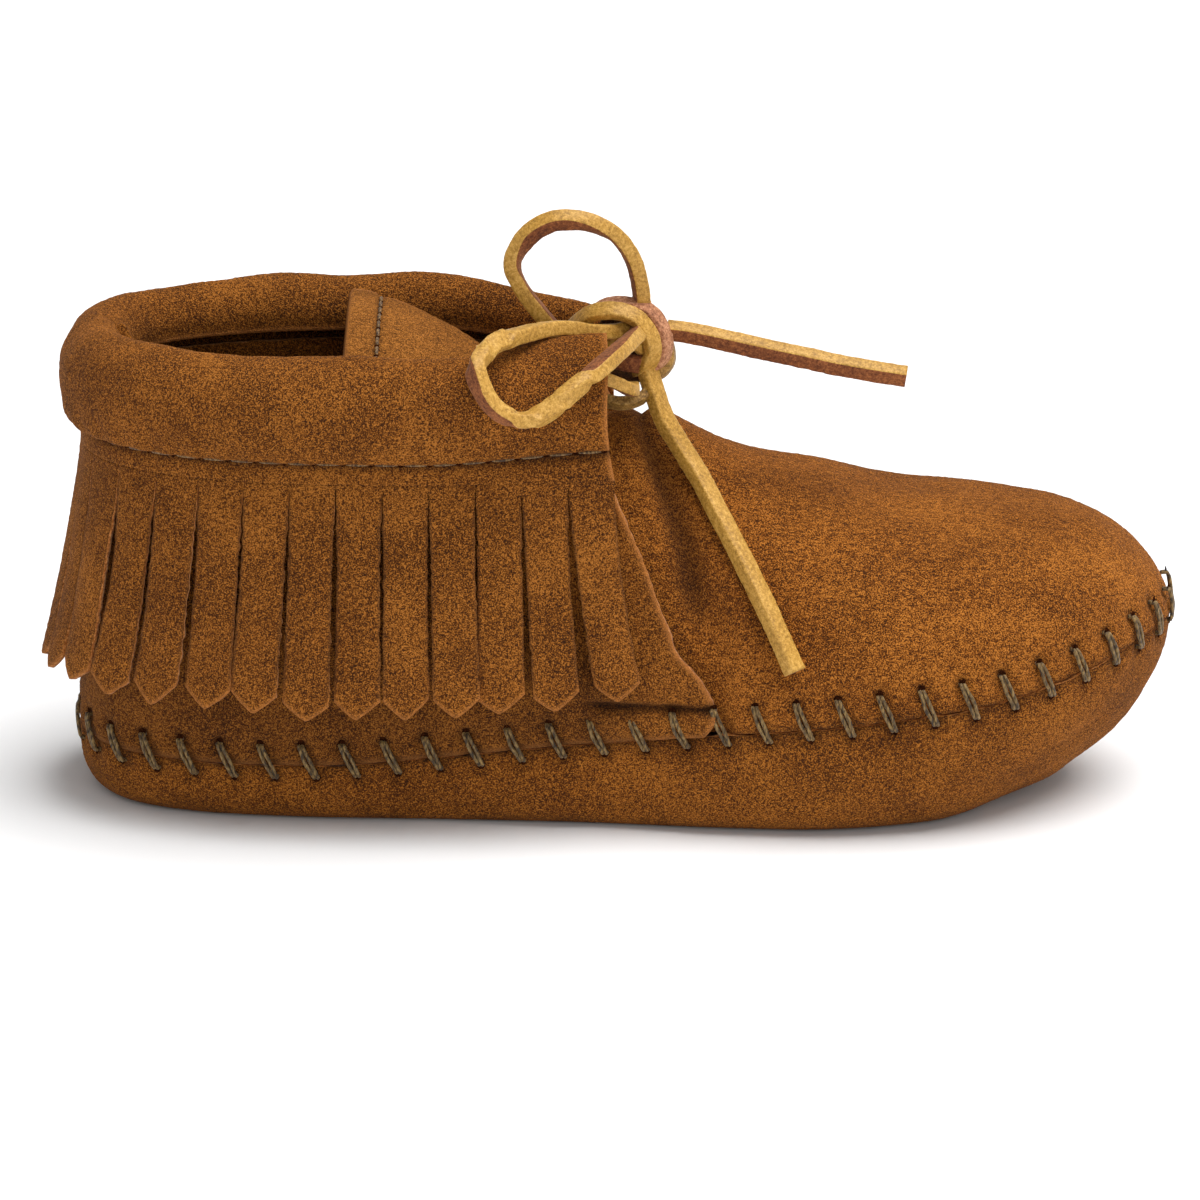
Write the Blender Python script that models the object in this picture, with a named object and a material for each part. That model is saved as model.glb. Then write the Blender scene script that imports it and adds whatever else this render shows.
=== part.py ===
"""A fringed ankle moccasin: soft suede sole sewn to its upper, rolled collar cuff, fringe, tongue and
a rawhide lace tied in a bow.

The shoe stands on Z = 0 with its toe along +X and its lateral side along -Y. Every size below is in
millimetres; meshes and curves are written in metres.
"""
import math

import bpy
import numpy as np

MM = 0.001
GAP = 0.3                       # clearance between pieces that touch

# Seam outline in plan, from the heel along the lateral side to the toe and back along the medial side.
SEAM_OUTLINE = [
    (-121, 0), (-118, -12), (-109, -22), (-93, -28.5), (-68, -32), (-38, -33.5), (-8, -36), (20, -40.5),
    (45, -44.5), (64, -45), (82, -42.5), (98, -36.5), (112, -27.5), (122, -16), (128, -4),
    (128.5, 7), (123, 20), (113, 30), (98, 38.5), (82, 43), (64, 44), (45, 41.5), (20, 35.5), (-8, 31.5),
    (-38, 31), (-68, 31.5), (-93, 28.5), (-109, 22), (-118, 12)]
# Height of the seam above the ground along X: low round the heel, rising with the toe spring.
SEAM_HEIGHT = [(-121, 15), (-90, 14), (-60, 14.5), (-36, 17), (0, 21.5), (37, 26), (67, 29.5), (93, 33),
               (106, 36), (119, 39.5), (128.5, 41)]
# Outline of the quarter under the cuff, from the heel to the lateral front edge; the medial half mirrors it.
COLLAR_OUTLINE = [(-117, 0), (-114.5, -12), (-107, -23), (-93, -31.5), (-74, -36.5), (-50, -38.5),
                  (-28, -38.5), (-10, -38), (4, -37), (14, -34.5)]
# Top line of the vamp along X, and the front edge of the quarter by height.
RIDGE_HEIGHT = [(-10, 88), (5, 85.5), (17, 83), (30, 79.5), (45, 75.5), (56, 72.5), (67, 70), (81, 68.5),
                (94, 67), (105, 64.5), (114, 60.5), (122, 54), (126.5, 48), (129, 42.5)]
FRONT_EDGE = [(18, 22.5), (24, 24.5), (32, 24), (40, 20), (50, 15.5), (62, 11), (76, 7.5), (95, 3)]

SOLE_THICKNESS = 2.0
UPPER_THICKNESS = 1.6
FRINGE_THICKNESS = 1.5
CUFF_THICKNESS = 1.8
SOLE_FULLNESS = [(0, 0.75), (40, 0.78), (90, 1.05), (128, 1.15)]     # by X; below 1 is fuller than an ellipse
VAMP_FULLNESS = 0.85
SOLE_INSET = [(-121, 9), (0, 9), (30, 11), (60, 15), (80, 20), (100, 28), (128, 38)]  # seam to flat, by X
SPINE_ENDS = (-92.0, 74.0)      # the line that the heel's and the toe's sections turn about
SOLE_STATIONS = 62

LAP_FRONT = 38.0                # the vamp tucks under the quarter behind this X
VAMP_BACK = -8.0
VAMP_TIP = 128.5

WALL_REACH = 34.0               # the quarter's outline is worked out from the heel to this X
WALL_TOP = 95.0                 # the quarter's top edge, inside the cuff
COLLAR_LEVEL = 80.0             # the wall takes the collar's outline from here up
LEAN_LEVEL = 80.0               # above this the collar's fronts lean in over the instep
LEAN = 11.0
LEAN_BACK = -42.0
FRONT_RISE = (2.5, -4.5)        # at the front, the collar's lateral and medial top stand this much higher
LEAN_FRONT = 2.0
RISE_SPAN = 10.0                # the outer side's rise is complete this far above LEAN_LEVEL
COLLAR_FRONT = [(82, 1.6), (88, 0.2), (112, 0.0)]      # X of the cuff's and the fringe's front edges
CUFF_BOTTOM = 87.7
CUFF_TOP = 110.5
BAND_TOP = 92.5
BAND_BOTTOM = 83.0
BAND_BACK = 0.5                 # from the quarter out to the back of the fringe

STRIP_COUNT = 27
STRIP_GAP = 0.5
STRIP_TOP = BAND_BOTTOM - GAP
STRIP_TIP = [(-120, 31.5), (-40, 30.5), (2, 34.5)]     # height of the strips' tips, by X
FRINGE_LENGTH = 54.0
STRIP_POINT = 4.5               # how far the tip's point runs below its corners
FRINGE_FAN = 0.09               # the fringe widens this much from its top to its tips
FRINGE_CENTRE = -36.0
STRIP_FLARE = 3.0

STITCH_COUNT = 62
STITCH_REACH = 4.6              # from the seam to the holes above and below it
STITCH_SLANT = 2.7
THREAD_RADIUS = 0.8
FINE_THREAD_RADIUS = 0.45
HOLE_RADIUS = 1.35

LACE_DIAMETER = 4.0
KNOT_CENTRE = (4.5, -8.5, 107.8)
KNOT_SIZE = (20.5, 14.0, 15.5)
KNOT_TURN = 10.0                # degrees about Y, which lowers the knot's end nearer the toe


# ---------------------------------------------------------------- numbers and outlines

def table_value(table, x):
    """Smooth value of a table of (x, value) stations at x, held level past both ends."""
    xs = np.array([row[0] for row in table], float)
    values = np.array([row[1] for row in table], float)
    slopes = np.gradient(values, xs)
    x = float(min(max(x, xs[0]), xs[-1]))
    i = int(min(max(np.searchsorted(xs, x) - 1, 0), len(xs) - 2))
    width = xs[i + 1] - xs[i]
    t = (x - xs[i]) / width
    start = (2 * t**3 - 3 * t**2 + 1) * values[i] + (t**3 - 2 * t**2 + t) * width * slopes[i]
    end = (3 * t**2 - 2 * t**3) * values[i + 1] + (t**3 - t**2) * width * slopes[i + 1]
    return start + end


def ease(t):
    """0 to 1 with level ends."""
    t = min(max(t, 0.0), 1.0)
    return t * t * (3 - 2 * t)


def spline(points, closed=False, steps=12):
    """Catmull-Rom curve through the points."""
    points = np.array(points, float)
    if closed:
        points = np.vstack([points[-1:], points, points[:2]])
    else:
        points = np.vstack([2 * points[0] - points[1], points, 2 * points[-1] - points[-2]])
    result = []
    for a, b, c, d in zip(points, points[1:], points[2:], points[3:]):
        for step in range(steps):
            t = step / steps
            result.append(0.5 * (2 * b + (c - a) * t + (2 * a - 5 * b + 4 * c - d) * t**2
                                 + (3 * b - a - 3 * c + d) * t**3))
    result.append(points[-2])
    return np.array(result)


def resample(curve, fractions):
    """Points at the given fractions of a polyline's length."""
    lengths = np.concatenate([[0], np.cumsum(np.linalg.norm(np.diff(curve, axis=0), axis=1))])
    wanted = np.array(fractions) * lengths[-1]
    return np.stack([np.interp(wanted, lengths, curve[:, k]) for k in range(curve.shape[1])], axis=1)


SEAM_CURVE = spline(SEAM_OUTLINE, closed=True)
LATERAL_COLLAR = spline(COLLAR_OUTLINE)


def seam_point(fraction):
    """Point on the seam line, fraction 0 and 1 at the heel, running along the lateral side first."""
    x, y = resample(SEAM_CURVE, [fraction % 1.0])[0]
    return np.array([x, y, table_value(SEAM_HEIGHT, x)])


def seam_outward(fraction):
    """Unit vector in plan, square to the seam and away from the shoe."""
    before = seam_point(fraction - 0.002)
    after = seam_point(fraction + 0.002)
    along = after - before
    outward = np.array([along[1], -along[0], 0.0])
    return outward / np.linalg.norm(outward)


def seam_half(side):
    """The seam's lateral (-1) or medial (+1) half, from heel to toe, in plan."""
    toe = int(np.argmax(SEAM_CURVE[:, 0]))
    return SEAM_CURVE[:toe + 1] if side < 0 else SEAM_CURVE[:toe - 1:-1]


def seam_width(x, side):
    """Seam's Y at x, side -1 lateral or +1 medial."""
    run = seam_half(side)
    return float(np.interp(x, run[:, 0], run[:, 1]))


# ---------------------------------------------------------------- making objects

def make_material(name, colour, roughness):
    material = bpy.data.materials.new(name)
    material.use_nodes = True
    shader = material.node_tree.nodes["Principled BSDF"]
    shader.inputs["Base Color"].default_value = (*colour, 1.0)
    shader.inputs["Roughness"].default_value = roughness
    shader.inputs["Metallic"].default_value = 0.0
    material.diffuse_color = (*colour, 1.0)
    return material


def make_object(name, vertices, faces, material, origin=(0, 0, 0)):
    """Mesh object from vertices in millimetres, with its own origin."""
    mesh = bpy.data.meshes.new(name)
    moved = (np.array(vertices, float) - np.array(origin, float)) * MM
    mesh.from_pydata(moved.tolist(), [], faces)
    mesh.validate()
    mesh.materials.append(material)
    item = bpy.data.objects.new(name, mesh)
    item.location = tuple(value * MM for value in origin)
    bpy.context.collection.objects.link(item)
    mesh.shade_smooth()
    mesh.set_sharp_from_angle(angle=math.radians(40))
    return item


def grid_normals(grid):
    """Unit normals of a grid of points, rows by columns."""
    rows = np.gradient(grid, axis=0)
    columns = np.gradient(grid, axis=1)
    normals = np.cross(rows, columns)
    return normals / np.linalg.norm(normals, axis=2, keepdims=True)


def shell_between(name, front, back, material, origin=(0, 0, 0)):
    """Closed solid between two grids of the same shape; front's normals must point out."""
    rows, columns = front.shape[:2]
    vertices = np.vstack([front.reshape(-1, 3), back.reshape(-1, 3)])
    count = rows * columns
    faces = []

    for row in range(rows - 1):
        for column in range(columns - 1):
            a = row * columns + column
            b = a + columns
            faces.append((a, b, b + 1, a + 1))
            faces.append((a + 1 + count, b + 1 + count, b + count, a + count))
        for column, turn in ((0, False), (columns - 1, True)):
            a = row * columns + column
            b = a + columns
            edge = (a, a + count, b + count, b)
            faces.append(edge[::-1] if turn else edge)
    for column in range(columns - 1):
        for row, turn in ((0, True), (rows - 1, False)):
            a = row * columns + column
            edge = (a, a + count, a + 1 + count, a + 1)
            faces.append(edge[::-1] if turn else edge)
    return make_object(name, vertices, faces, material, origin)


def thick_sheet(name, grid, thickness, material):
    """Closed solid from an outer grid and a thickness inward along its normals."""
    return shell_between(name, grid, grid - grid_normals(grid) * thickness, material)


def tube(name, points, radius, sides, material):
    """Closed tube with mitred bends round a polyline."""
    points = np.array(points, float)
    runs = np.diff(points, axis=0)
    runs /= np.linalg.norm(runs, axis=1, keepdims=True)
    helper = np.array([0.0, 0.0, 1.0]) if abs(runs[0][2]) < 0.9 else np.array([1.0, 0.0, 0.0])
    across = np.cross(runs[0], helper)
    across /= np.linalg.norm(across)
    upward = np.cross(runs[0], across)
    angles = [2 * math.pi * k / sides for k in range(sides)]
    ring = np.array([radius * (math.cos(a) * across + math.sin(a) * upward) for a in angles])
    vertices = [points[0] + ring]
    for i in range(1, len(points)):
        before = runs[i - 1]
        after = runs[i] if i < len(runs) else before
        bisector = before + after
        bisector /= np.linalg.norm(bisector)
        mitred = ring - np.outer(ring @ bisector, before) / (before @ bisector)
        vertices.append(points[i] + mitred)
        ring = mitred - np.outer(mitred @ after, after)
    vertices = np.vstack(vertices)
    faces = [tuple(reversed(range(sides)))]
    for i in range(len(points) - 1):
        for k in range(sides):
            a = i * sides + k
            b = i * sides + (k + 1) % sides
            faces.append((a, b, b + sides, a + sides))
    end = (len(points) - 1) * sides
    faces.append(tuple(end + k for k in range(sides)))
    return make_object(name, vertices, faces, material)


def cord(name, route, material):
    """A lace's run: a round curve object through a route chosen by hand."""
    curve = spline(route, steps=20)
    length = np.linalg.norm(np.diff(curve, axis=0), axis=1).sum()
    count = max(int(length / (2.2 * LACE_DIAMETER)), 4)
    points = resample(curve, np.linspace(0, 1, count + 1))
    data = bpy.data.curves.new(name, "CURVE")
    data.dimensions = "3D"
    data.bevel_depth = LACE_DIAMETER / 2 * MM
    data.bevel_resolution = 2
    data.use_fill_caps = True
    line = data.splines.new("POLY")
    line.points.add(len(points) - 1)
    for target, point in zip(line.points, points):
        target.co = (*(point * MM), 1.0)
    data.materials.append(material)
    item = bpy.data.objects.new(name, data)
    bpy.context.collection.objects.link(item)
    return item


# ---------------------------------------------------------------- sole and footbed

def spine_anchor(point):
    """Nearest point of the shoe's centre line, which the sections of the sole turn toward."""
    x = min(max(point[0], SPINE_ENDS[0]), SPINE_ENDS[1])
    return np.array([x, 0.5 * (seam_width(x, -1) + seam_width(x, 1)), 0.0])


def sole_section(fraction, depth, top, floor, steps=6):
    """Points down one section of the sole, from the seam to the edge of its flat.

    depth is how far inside the outer surface this layer lies, and floor is its flat's height.
    """
    edge = seam_point(fraction)
    inward = spine_anchor(edge) - np.array([edge[0], edge[1], 0.0])
    inward /= np.linalg.norm(inward)
    inset = table_value(SOLE_INSET, edge[0])
    fullness = table_value(SOLE_FULLNESS, edge[0])
    height = edge[2] + top - floor
    points = []
    for step in range(steps + 1):
        angle = math.pi / 2 * (1 - step / steps)
        out = inset * math.sin(angle) ** fullness
        up = height * (1 - math.cos(angle) ** fullness)
        point = edge + inward * (depth + inset - out)
        point[2] = floor + up
        points.append(point)
    return points


def ladder_faces(start, count, stride, flip):
    """Flat cap over a ring of points, as rungs from one side of the shoe to the other."""
    faces = []
    for i in range(count // 2):
        a = start + i * stride
        b = start + (i + 1) * stride
        c = start + ((count - i - 1) % count) * stride
        d = start + ((count - i) % count) * stride
        face = list(dict.fromkeys((a, b, c, d)))
        if len(face) > 2:
            faces.append(tuple(face[::-1] if flip else face))
    return faces


def make_sole(material):
    fractions = [i / SOLE_STATIONS for i in range(SOLE_STATIONS)]
    outer = np.array([sole_section(f, 0.0, -GAP / 2, 0.0) for f in fractions])
    inner = np.array([sole_section(f, SOLE_THICKNESS, -GAP / 2, SOLE_THICKNESS) for f in fractions])
    rows, columns = outer.shape[:2]
    count = rows * columns
    vertices = np.vstack([outer.reshape(-1, 3), inner.reshape(-1, 3)])
    faces = []
    for row in range(rows):
        after = (row + 1) % rows
        for column in range(columns - 1):
            a = row * columns + column
            b = after * columns + column
            faces.append((a, a + 1, b + 1, b))
            faces.append((b + count, b + count + 1, a + count + 1, a + count))
        a = row * columns
        b = after * columns
        faces.append((a, b, b + count, a + count))
    faces += ladder_faces(columns - 1, rows, columns, True)
    faces += ladder_faces(count + columns - 1, rows, columns, False)
    return make_object("soft_sole", vertices, faces, material)


def make_footbed(material):
    """A flat foam insole that fills the inside of the sole's flat."""
    stations = 40
    bottom = SOLE_THICKNESS + GAP
    top = bottom + 3.5
    ring = []
    for i in range(stations):
        edge = seam_point(i / stations)
        inward = spine_anchor(edge) - np.array([edge[0], edge[1], 0.0])
        inward /= np.linalg.norm(inward)
        ring.append(edge + inward * (table_value(SOLE_INSET, edge[0]) + SOLE_THICKNESS + GAP))
    ring = np.array(ring)
    lower = ring.copy()
    lower[:, 2] = bottom
    upper = ring.copy()
    upper[:, 2] = top
    vertices = np.vstack([lower, upper])
    faces = ladder_faces(0, stations, 1, True) + ladder_faces(stations, stations, 1, False)
    for i in range(stations):
        after = (i + 1) % stations
        faces.append((i, after, after + stations, i + stations))
    return make_object("footbed", vertices, faces, material)


# ---------------------------------------------------------------- vamp

def vamp_grid(depth, stations=18, columns=15):
    """Sections of the vamp from its back to the toe, each from the lateral to the medial seam."""
    tip = VAMP_TIP - depth
    grid = []
    for i in range(stations + 1):
        x = VAMP_BACK + (tip - VAMP_BACK) * math.sin(math.pi / 2 * i / stations) ** 0.9
        lap = (UPPER_THICKNESS + 2 * GAP) * ease((LAP_FRONT - x) / 7)
        base = table_value(SEAM_HEIGHT, x) + GAP
        fullness = 1 + (VAMP_FULLNESS - 1) * ease((x - LAP_FRONT + 6) / 30)
        rise = max(table_value(RIDGE_HEIGHT, x + depth * 0.5) - depth - base, 0.0)
        half = [max(abs(seam_width(x + depth * 0.6, side)) - depth - lap, 0.0) for side in (-1, 1)]
        middle = 0.5 * (seam_width(x, -1) + seam_width(x, 1))
        if i == stations:
            rise = 0.0
            half = [0.0, 0.0]
        row = []
        for k in range(columns):
            angle = math.pi * k / (columns - 1)
            across = abs(math.cos(angle)) ** fullness
            up = math.sin(angle) ** fullness if 0 < k < columns - 1 else 0.0
            if k < columns // 2:
                y = middle + (-half[0] - middle) * across
            else:
                y = middle + (half[1] - middle) * across
            if i == stations:
                y = middle
            row.append((x, y, base + rise * up))
        grid.append(row)
    return np.array(grid)


def make_vamp(material):
    outer = vamp_grid(0.0)
    inner = vamp_grid(UPPER_THICKNESS)
    item = shell_between("vamp", outer[:, ::-1], inner[:, ::-1], material)
    return item


# ---------------------------------------------------------------- quarter, cuff and fringe band

def wall_outline(z, past=0.0):
    """The quarter's outer surface at height z, in plan, from its lateral to its medial front edge."""
    front = table_value(FRONT_EDGE, z) + past
    halves = []
    for side in (-1, 1):
        samples = np.linspace(0, 1, 120)
        seam = seam_half(side)
        seam = resample(seam[seam[:, 0] < WALL_REACH], samples)
        collar = resample(LATERAL_COLLAR, samples) * np.array([1, -side])
        low = table_value(SEAM_HEIGHT, -60)
        blend = ease((z - low) / (COLLAR_LEVEL - low))
        half = seam + (collar - seam) * blend
        keep = half[half[:, 0] <= front]
        after = half[len(keep)] if len(keep) < len(half) else half[-1]
        before = keep[-1]
        share = (front - before[0]) / max(after[0] - before[0], 0.001)
        halves.append(np.vstack([keep, before + (after - before) * min(share, 1.0)]))
    return np.vstack([halves[0][::-1], halves[1][1:]])


def lean(points):
    """Lean the collar's fronts in over the instep, more the higher and the further forward they are, and
    raise the lateral front and lower the medial one."""
    result = points.copy()
    for point in result:
        forward = ease((point[0] - LEAN_BACK) / (LEAN_FRONT - LEAN_BACK))
        share = max(point[2] - LEAN_LEVEL, 0.0) / (CUFF_TOP - LEAN_LEVEL)
        if point[1] < 0:
            rise = FRONT_RISE[0] * ease(max(point[2] - LEAN_LEVEL, 0.0) / RISE_SPAN)
        else:
            rise = FRONT_RISE[1] * share
        point[2] += rise * forward
        point[1] -= math.copysign(1.0, point[1]) * LEAN * forward * share
    return result


def wall_points(fractions, z, outward, past=0.0):
    """Points round the wall at height z, outward from the quarter's outer surface."""
    outline = wall_outline(z, past)
    fractions = np.array(fractions)
    points = resample(outline, fractions)
    ahead = resample(outline, np.clip(fractions + 0.004, 0, 1))
    behind = resample(outline, np.clip(fractions - 0.004, 0, 1))
    along = ahead - behind
    along /= np.linalg.norm(along, axis=1, keepdims=True)
    normal = np.stack([-along[:, 1], along[:, 0]], axis=1)
    flat = points + normal * outward
    return lean(np.column_stack([flat, np.full(len(flat), float(z))]))


def collar_points(fractions, z, outward):
    """Points round the collar, whose front edges stand at one X."""
    past = table_value(COLLAR_FRONT, z) - table_value(FRONT_EDGE, z)
    return wall_points(fractions, z, outward, past)


def make_quarter(material):
    stations = 43
    fractions = np.linspace(0, 1, stations)
    heights = np.linspace(0, 1, 8)
    columns = []
    for share in heights:
        ring = []
        for fraction in fractions:
            z = 16.0 + (WALL_TOP - 16.0) * share
            for _ in range(4):
                point = wall_points([fraction], z, 0.0)[0]
                low = table_value(SEAM_HEIGHT, point[0]) + GAP / 2
                z = low + (WALL_TOP - low) * share
            ring.append(wall_points([fraction], z, 0.0)[0])
        columns.append(ring)
    grid = np.array(columns).transpose(1, 0, 2)
    return thick_sheet("quarter", grid[::-1], UPPER_THICKNESS, material)


def cuff_profile():
    """Outer face of the rolled cuff's section as (outward, height) points, from its bottom edge over the
    crest to the inner edge."""
    bottom = BAND_BACK + FRINGE_THICKNESS + GAP + CUFF_THICKNESS
    return [(bottom, CUFF_BOTTOM), (bottom + 1.6, 92), (bottom + 2.3, 97.5), (bottom + 1.6, 103),
            (bottom - 1.2, 108), (-2.0, CUFF_TOP), (-6.2, 108.6), (-8.6, 104), (-8.4, 99)]


def make_cuff(material):
    stations = np.linspace(0, 1, 37)
    profile = spline(cuff_profile(), steps=6)
    profile = resample(profile, np.linspace(0, 1, 11))
    tangent = np.gradient(profile, axis=0)
    tangent /= np.linalg.norm(tangent, axis=1, keepdims=True)
    inward = np.stack([-tangent[:, 1], tangent[:, 0]], axis=1)
    inside = profile + inward * CUFF_THICKNESS
    outer = np.array([collar_points(stations, z, out) for out, z in profile]).transpose(1, 0, 2)
    inner = np.array([collar_points(stations, z, out) for out, z in inside]).transpose(1, 0, 2)
    return shell_between("collar_cuff", outer[::-1], inner[::-1], material)


def make_band(material):
    stations = np.linspace(0, 1, 37)
    heights = (BAND_BOTTOM, 86.5, BAND_TOP)
    outer = np.array([collar_points(stations, z, BAND_BACK + FRINGE_THICKNESS) for z in heights])
    inner = np.array([collar_points(stations, z, BAND_BACK) for z in heights])
    return shell_between("fringe_band", outer.transpose(1, 0, 2)[::-1], inner.transpose(1, 0, 2)[::-1],
                         material)


# ---------------------------------------------------------------- fringe strips

def fringe_point(fraction, z, depth):
    """Point on the fringe: it falls from the band and widens toward its tips."""
    top = collar_points([fraction], STRIP_TOP, BAND_BACK + FRINGE_THICKNESS - depth)[0]
    drop = (STRIP_TOP - z) / FRINGE_LENGTH
    widen = 1 + FRINGE_FAN * drop**1.3
    outline = collar_points([max(fraction - 0.004, 0), min(fraction + 0.004, 1)], STRIP_TOP, 0.0)
    along = outline[1] - outline[0]
    normal = np.array([-along[1], along[0]]) / np.hypot(along[0], along[1])
    flare = STRIP_FLARE * drop**1.2
    x = FRINGE_CENTRE + (top[0] - FRINGE_CENTRE) * widen + normal[0] * flare
    y = top[1] * widen + normal[1] * flare
    return np.array([x, y, z + top[2] - STRIP_TOP])


def strip_span(number):
    """First and last fraction of the collar that a strip takes, less half the slit on each side."""
    length = np.linalg.norm(np.diff(wall_outline(COLLAR_LEVEL), axis=0), axis=1).sum()
    slit = STRIP_GAP / length / 2
    return number / STRIP_COUNT + slit, (number + 1) / STRIP_COUNT - slit


def make_strip(number, material):
    first, last = strip_span(number)
    fractions = np.linspace(first, last, 3)
    lowest = table_value(STRIP_TIP, collar_points([fractions[1]], STRIP_TOP, 0.0)[0][0])
    shares = (0.0, 0.25, 0.5, 0.75, 1.0)
    layers = []
    for depth in (0.0, FRINGE_THICKNESS):
        grid = []
        for share in shares:
            row = []
            for k, fraction in enumerate(fractions):
                tip = lowest if k == 1 else lowest + STRIP_POINT
                z = STRIP_TOP + (tip - STRIP_TOP) * share
                row.append(fringe_point(fraction, z, depth))
            grid.append(row)
        layers.append(np.array(grid))
    axis = fringe_point(fractions[1], STRIP_TOP, 0.0)
    name = f"fringe_strip_{number + 1:02d}"
    return shell_between(name, layers[0][:, ::-1], layers[1][:, ::-1], material, origin=axis)


# ---------------------------------------------------------------- tongue

TONGUE_BASE = VAMP_BACK - GAP
TONGUE_END = -59.0
TONGUE_HALF_WIDTHS = (19.0, 26.0)
TONGUE_ARCH = (6.5, 2.0)
TONGUE_END_HEIGHT = 107.5
TONGUE_TILT = 4.0               # the medial edge stands this much above the middle
TONGUE_HEM = 9.0


def tongue_point(share, across, above):
    """Point over the tongue: share 0 at its sewn base to 1 at its free end, across -1 to 1."""
    x = TONGUE_BASE + (TONGUE_END - TONGUE_BASE) * share
    half = TONGUE_HALF_WIDTHS[0] + (TONGUE_HALF_WIDTHS[1] - TONGUE_HALF_WIDTHS[0]) * ease(share)
    arch = TONGUE_ARCH[0] + (TONGUE_ARCH[1] - TONGUE_ARCH[0]) * share
    base = table_value(RIDGE_HEIGHT, VAMP_BACK)
    centre = base + (TONGUE_END_HEIGHT - base) * math.sin(math.pi / 2 * share) ** 1.15
    tilt = TONGUE_TILT * across * ease(2 * share)
    return np.array([x, half * across, centre - arch * across**2 + tilt + above])


def make_tongue(material):
    hem_share = 1 - TONGUE_HEM / (TONGUE_BASE - TONGUE_END)
    shares = [0, 0.18, 0.36, 0.54, 0.7, hem_share - 0.01, hem_share + 0.01, 1]
    columns = np.linspace(-1, 1, 9)
    top = []
    under = []
    for share in shares:
        layers = 2 if share > hem_share else 1
        top.append([tongue_point(share, across, 0.0) for across in columns])
        under.append([tongue_point(share, across, -UPPER_THICKNESS * layers) for across in columns])
    origin = tongue_point(0, 0, -UPPER_THICKNESS / 2)
    return shell_between("tongue", np.array(top)[:, ::-1], np.array(under)[:, ::-1], material, origin=origin)


# ---------------------------------------------------------------- threads

def stitch_frame(number):
    fraction = (number + 0.5) / STITCH_COUNT
    return fraction, seam_point(fraction), seam_outward(fraction)


def hole_points(number):
    """Upper and lower hole centres of one whip stitch, on the seam's vertical."""
    fraction, point, outward = stitch_frame(number)
    length = np.linalg.norm(np.diff(SEAM_CURVE, axis=0), axis=1).sum()
    slant = STITCH_SLANT / length / 2
    side = 1 if fraction < 0.5 else -1
    upper = seam_point(fraction - slant * side)
    lower = seam_point(fraction + slant * side)
    upper[2] += STITCH_REACH
    lower[2] -= STITCH_REACH
    return upper, lower, outward


def inner_reach(x):
    """Depth of the thread's inside run behind the seam line, more where the vamp laps the quarter."""
    lap = (UPPER_THICKNESS + 2 * GAP) * ease((LAP_FRONT + 6 - x) / 6) * ease((x - VAMP_BACK + 12) / 6)
    return SOLE_THICKNESS + THREAD_RADIUS + 3.6 * GAP + lap


def make_whip_thread(material):
    outer_reach = THREAD_RADIUS + 2 * GAP
    points = []
    for number in range(STITCH_COUNT):
        upper, lower, outward = hole_points(number)
        inside = outward * inner_reach(upper[0])
        outside = outward * outer_reach
        points += [upper - inside, upper + outside, lower + outside, lower - inside]
    return tube("whip_thread", points, THREAD_RADIUS, 5, material)


def cut_stitch_holes(items):
    """Cut every stitch's hole through the sole and the upper with one object of hexagonal pins."""
    vertices = []
    faces = []
    for number in range(STITCH_COUNT):
        upper, lower, outward = hole_points(number)
        along = np.array([-outward[1], outward[0], 0.0])
        upward = np.array([0.0, 0.0, 1.0])
        for centre in (upper, lower):
            start = len(vertices)
            for reach in (-inner_reach(upper[0]) - 4.0, 4.0):
                for k in range(6):
                    angle = math.pi / 3 * k
                    side = HOLE_RADIUS * (math.cos(angle) * along + math.sin(angle) * upward)
                    vertices.append(centre + outward * reach + side)
            faces.append(tuple(start + k for k in range(6))[::-1])
            faces.append(tuple(start + 6 + k for k in range(6)))
            for k in range(6):
                after = (k + 1) % 6
                faces.append((start + k, start + after, start + 6 + after, start + 6 + k))
    cutter = make_object("stitch_hole_pins", vertices, faces, items[0].data.materials[0])
    cutter.hide_render = True
    cutter.display_type = "WIRE"
    for item in items:
        cut = item.modifiers.new("stitch holes", "BOOLEAN")
        cut.operation = "DIFFERENCE"
        cut.solver = "EXACT"
        cut.object = cutter


def make_collar_thread(material):
    height = CUFF_BOTTOM - GAP - FINE_THREAD_RADIUS
    out = BAND_BACK + FRINGE_THICKNESS + GAP + FINE_THREAD_RADIUS
    points = collar_points(np.linspace(0.004, 0.996, 49), height, out)
    return tube("collar_thread", points, FINE_THREAD_RADIUS, 5, material)


def make_tongue_thread(material):
    share = 1 - TONGUE_HEM / (TONGUE_BASE - TONGUE_END) + 0.03
    above = GAP + FINE_THREAD_RADIUS + 0.2
    points = [tongue_point(share, across, above) for across in np.linspace(-0.95, 0.95, 17)]
    return tube("tongue_thread", points, FINE_THREAD_RADIUS, 5, material)


# ---------------------------------------------------------------- lace

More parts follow.
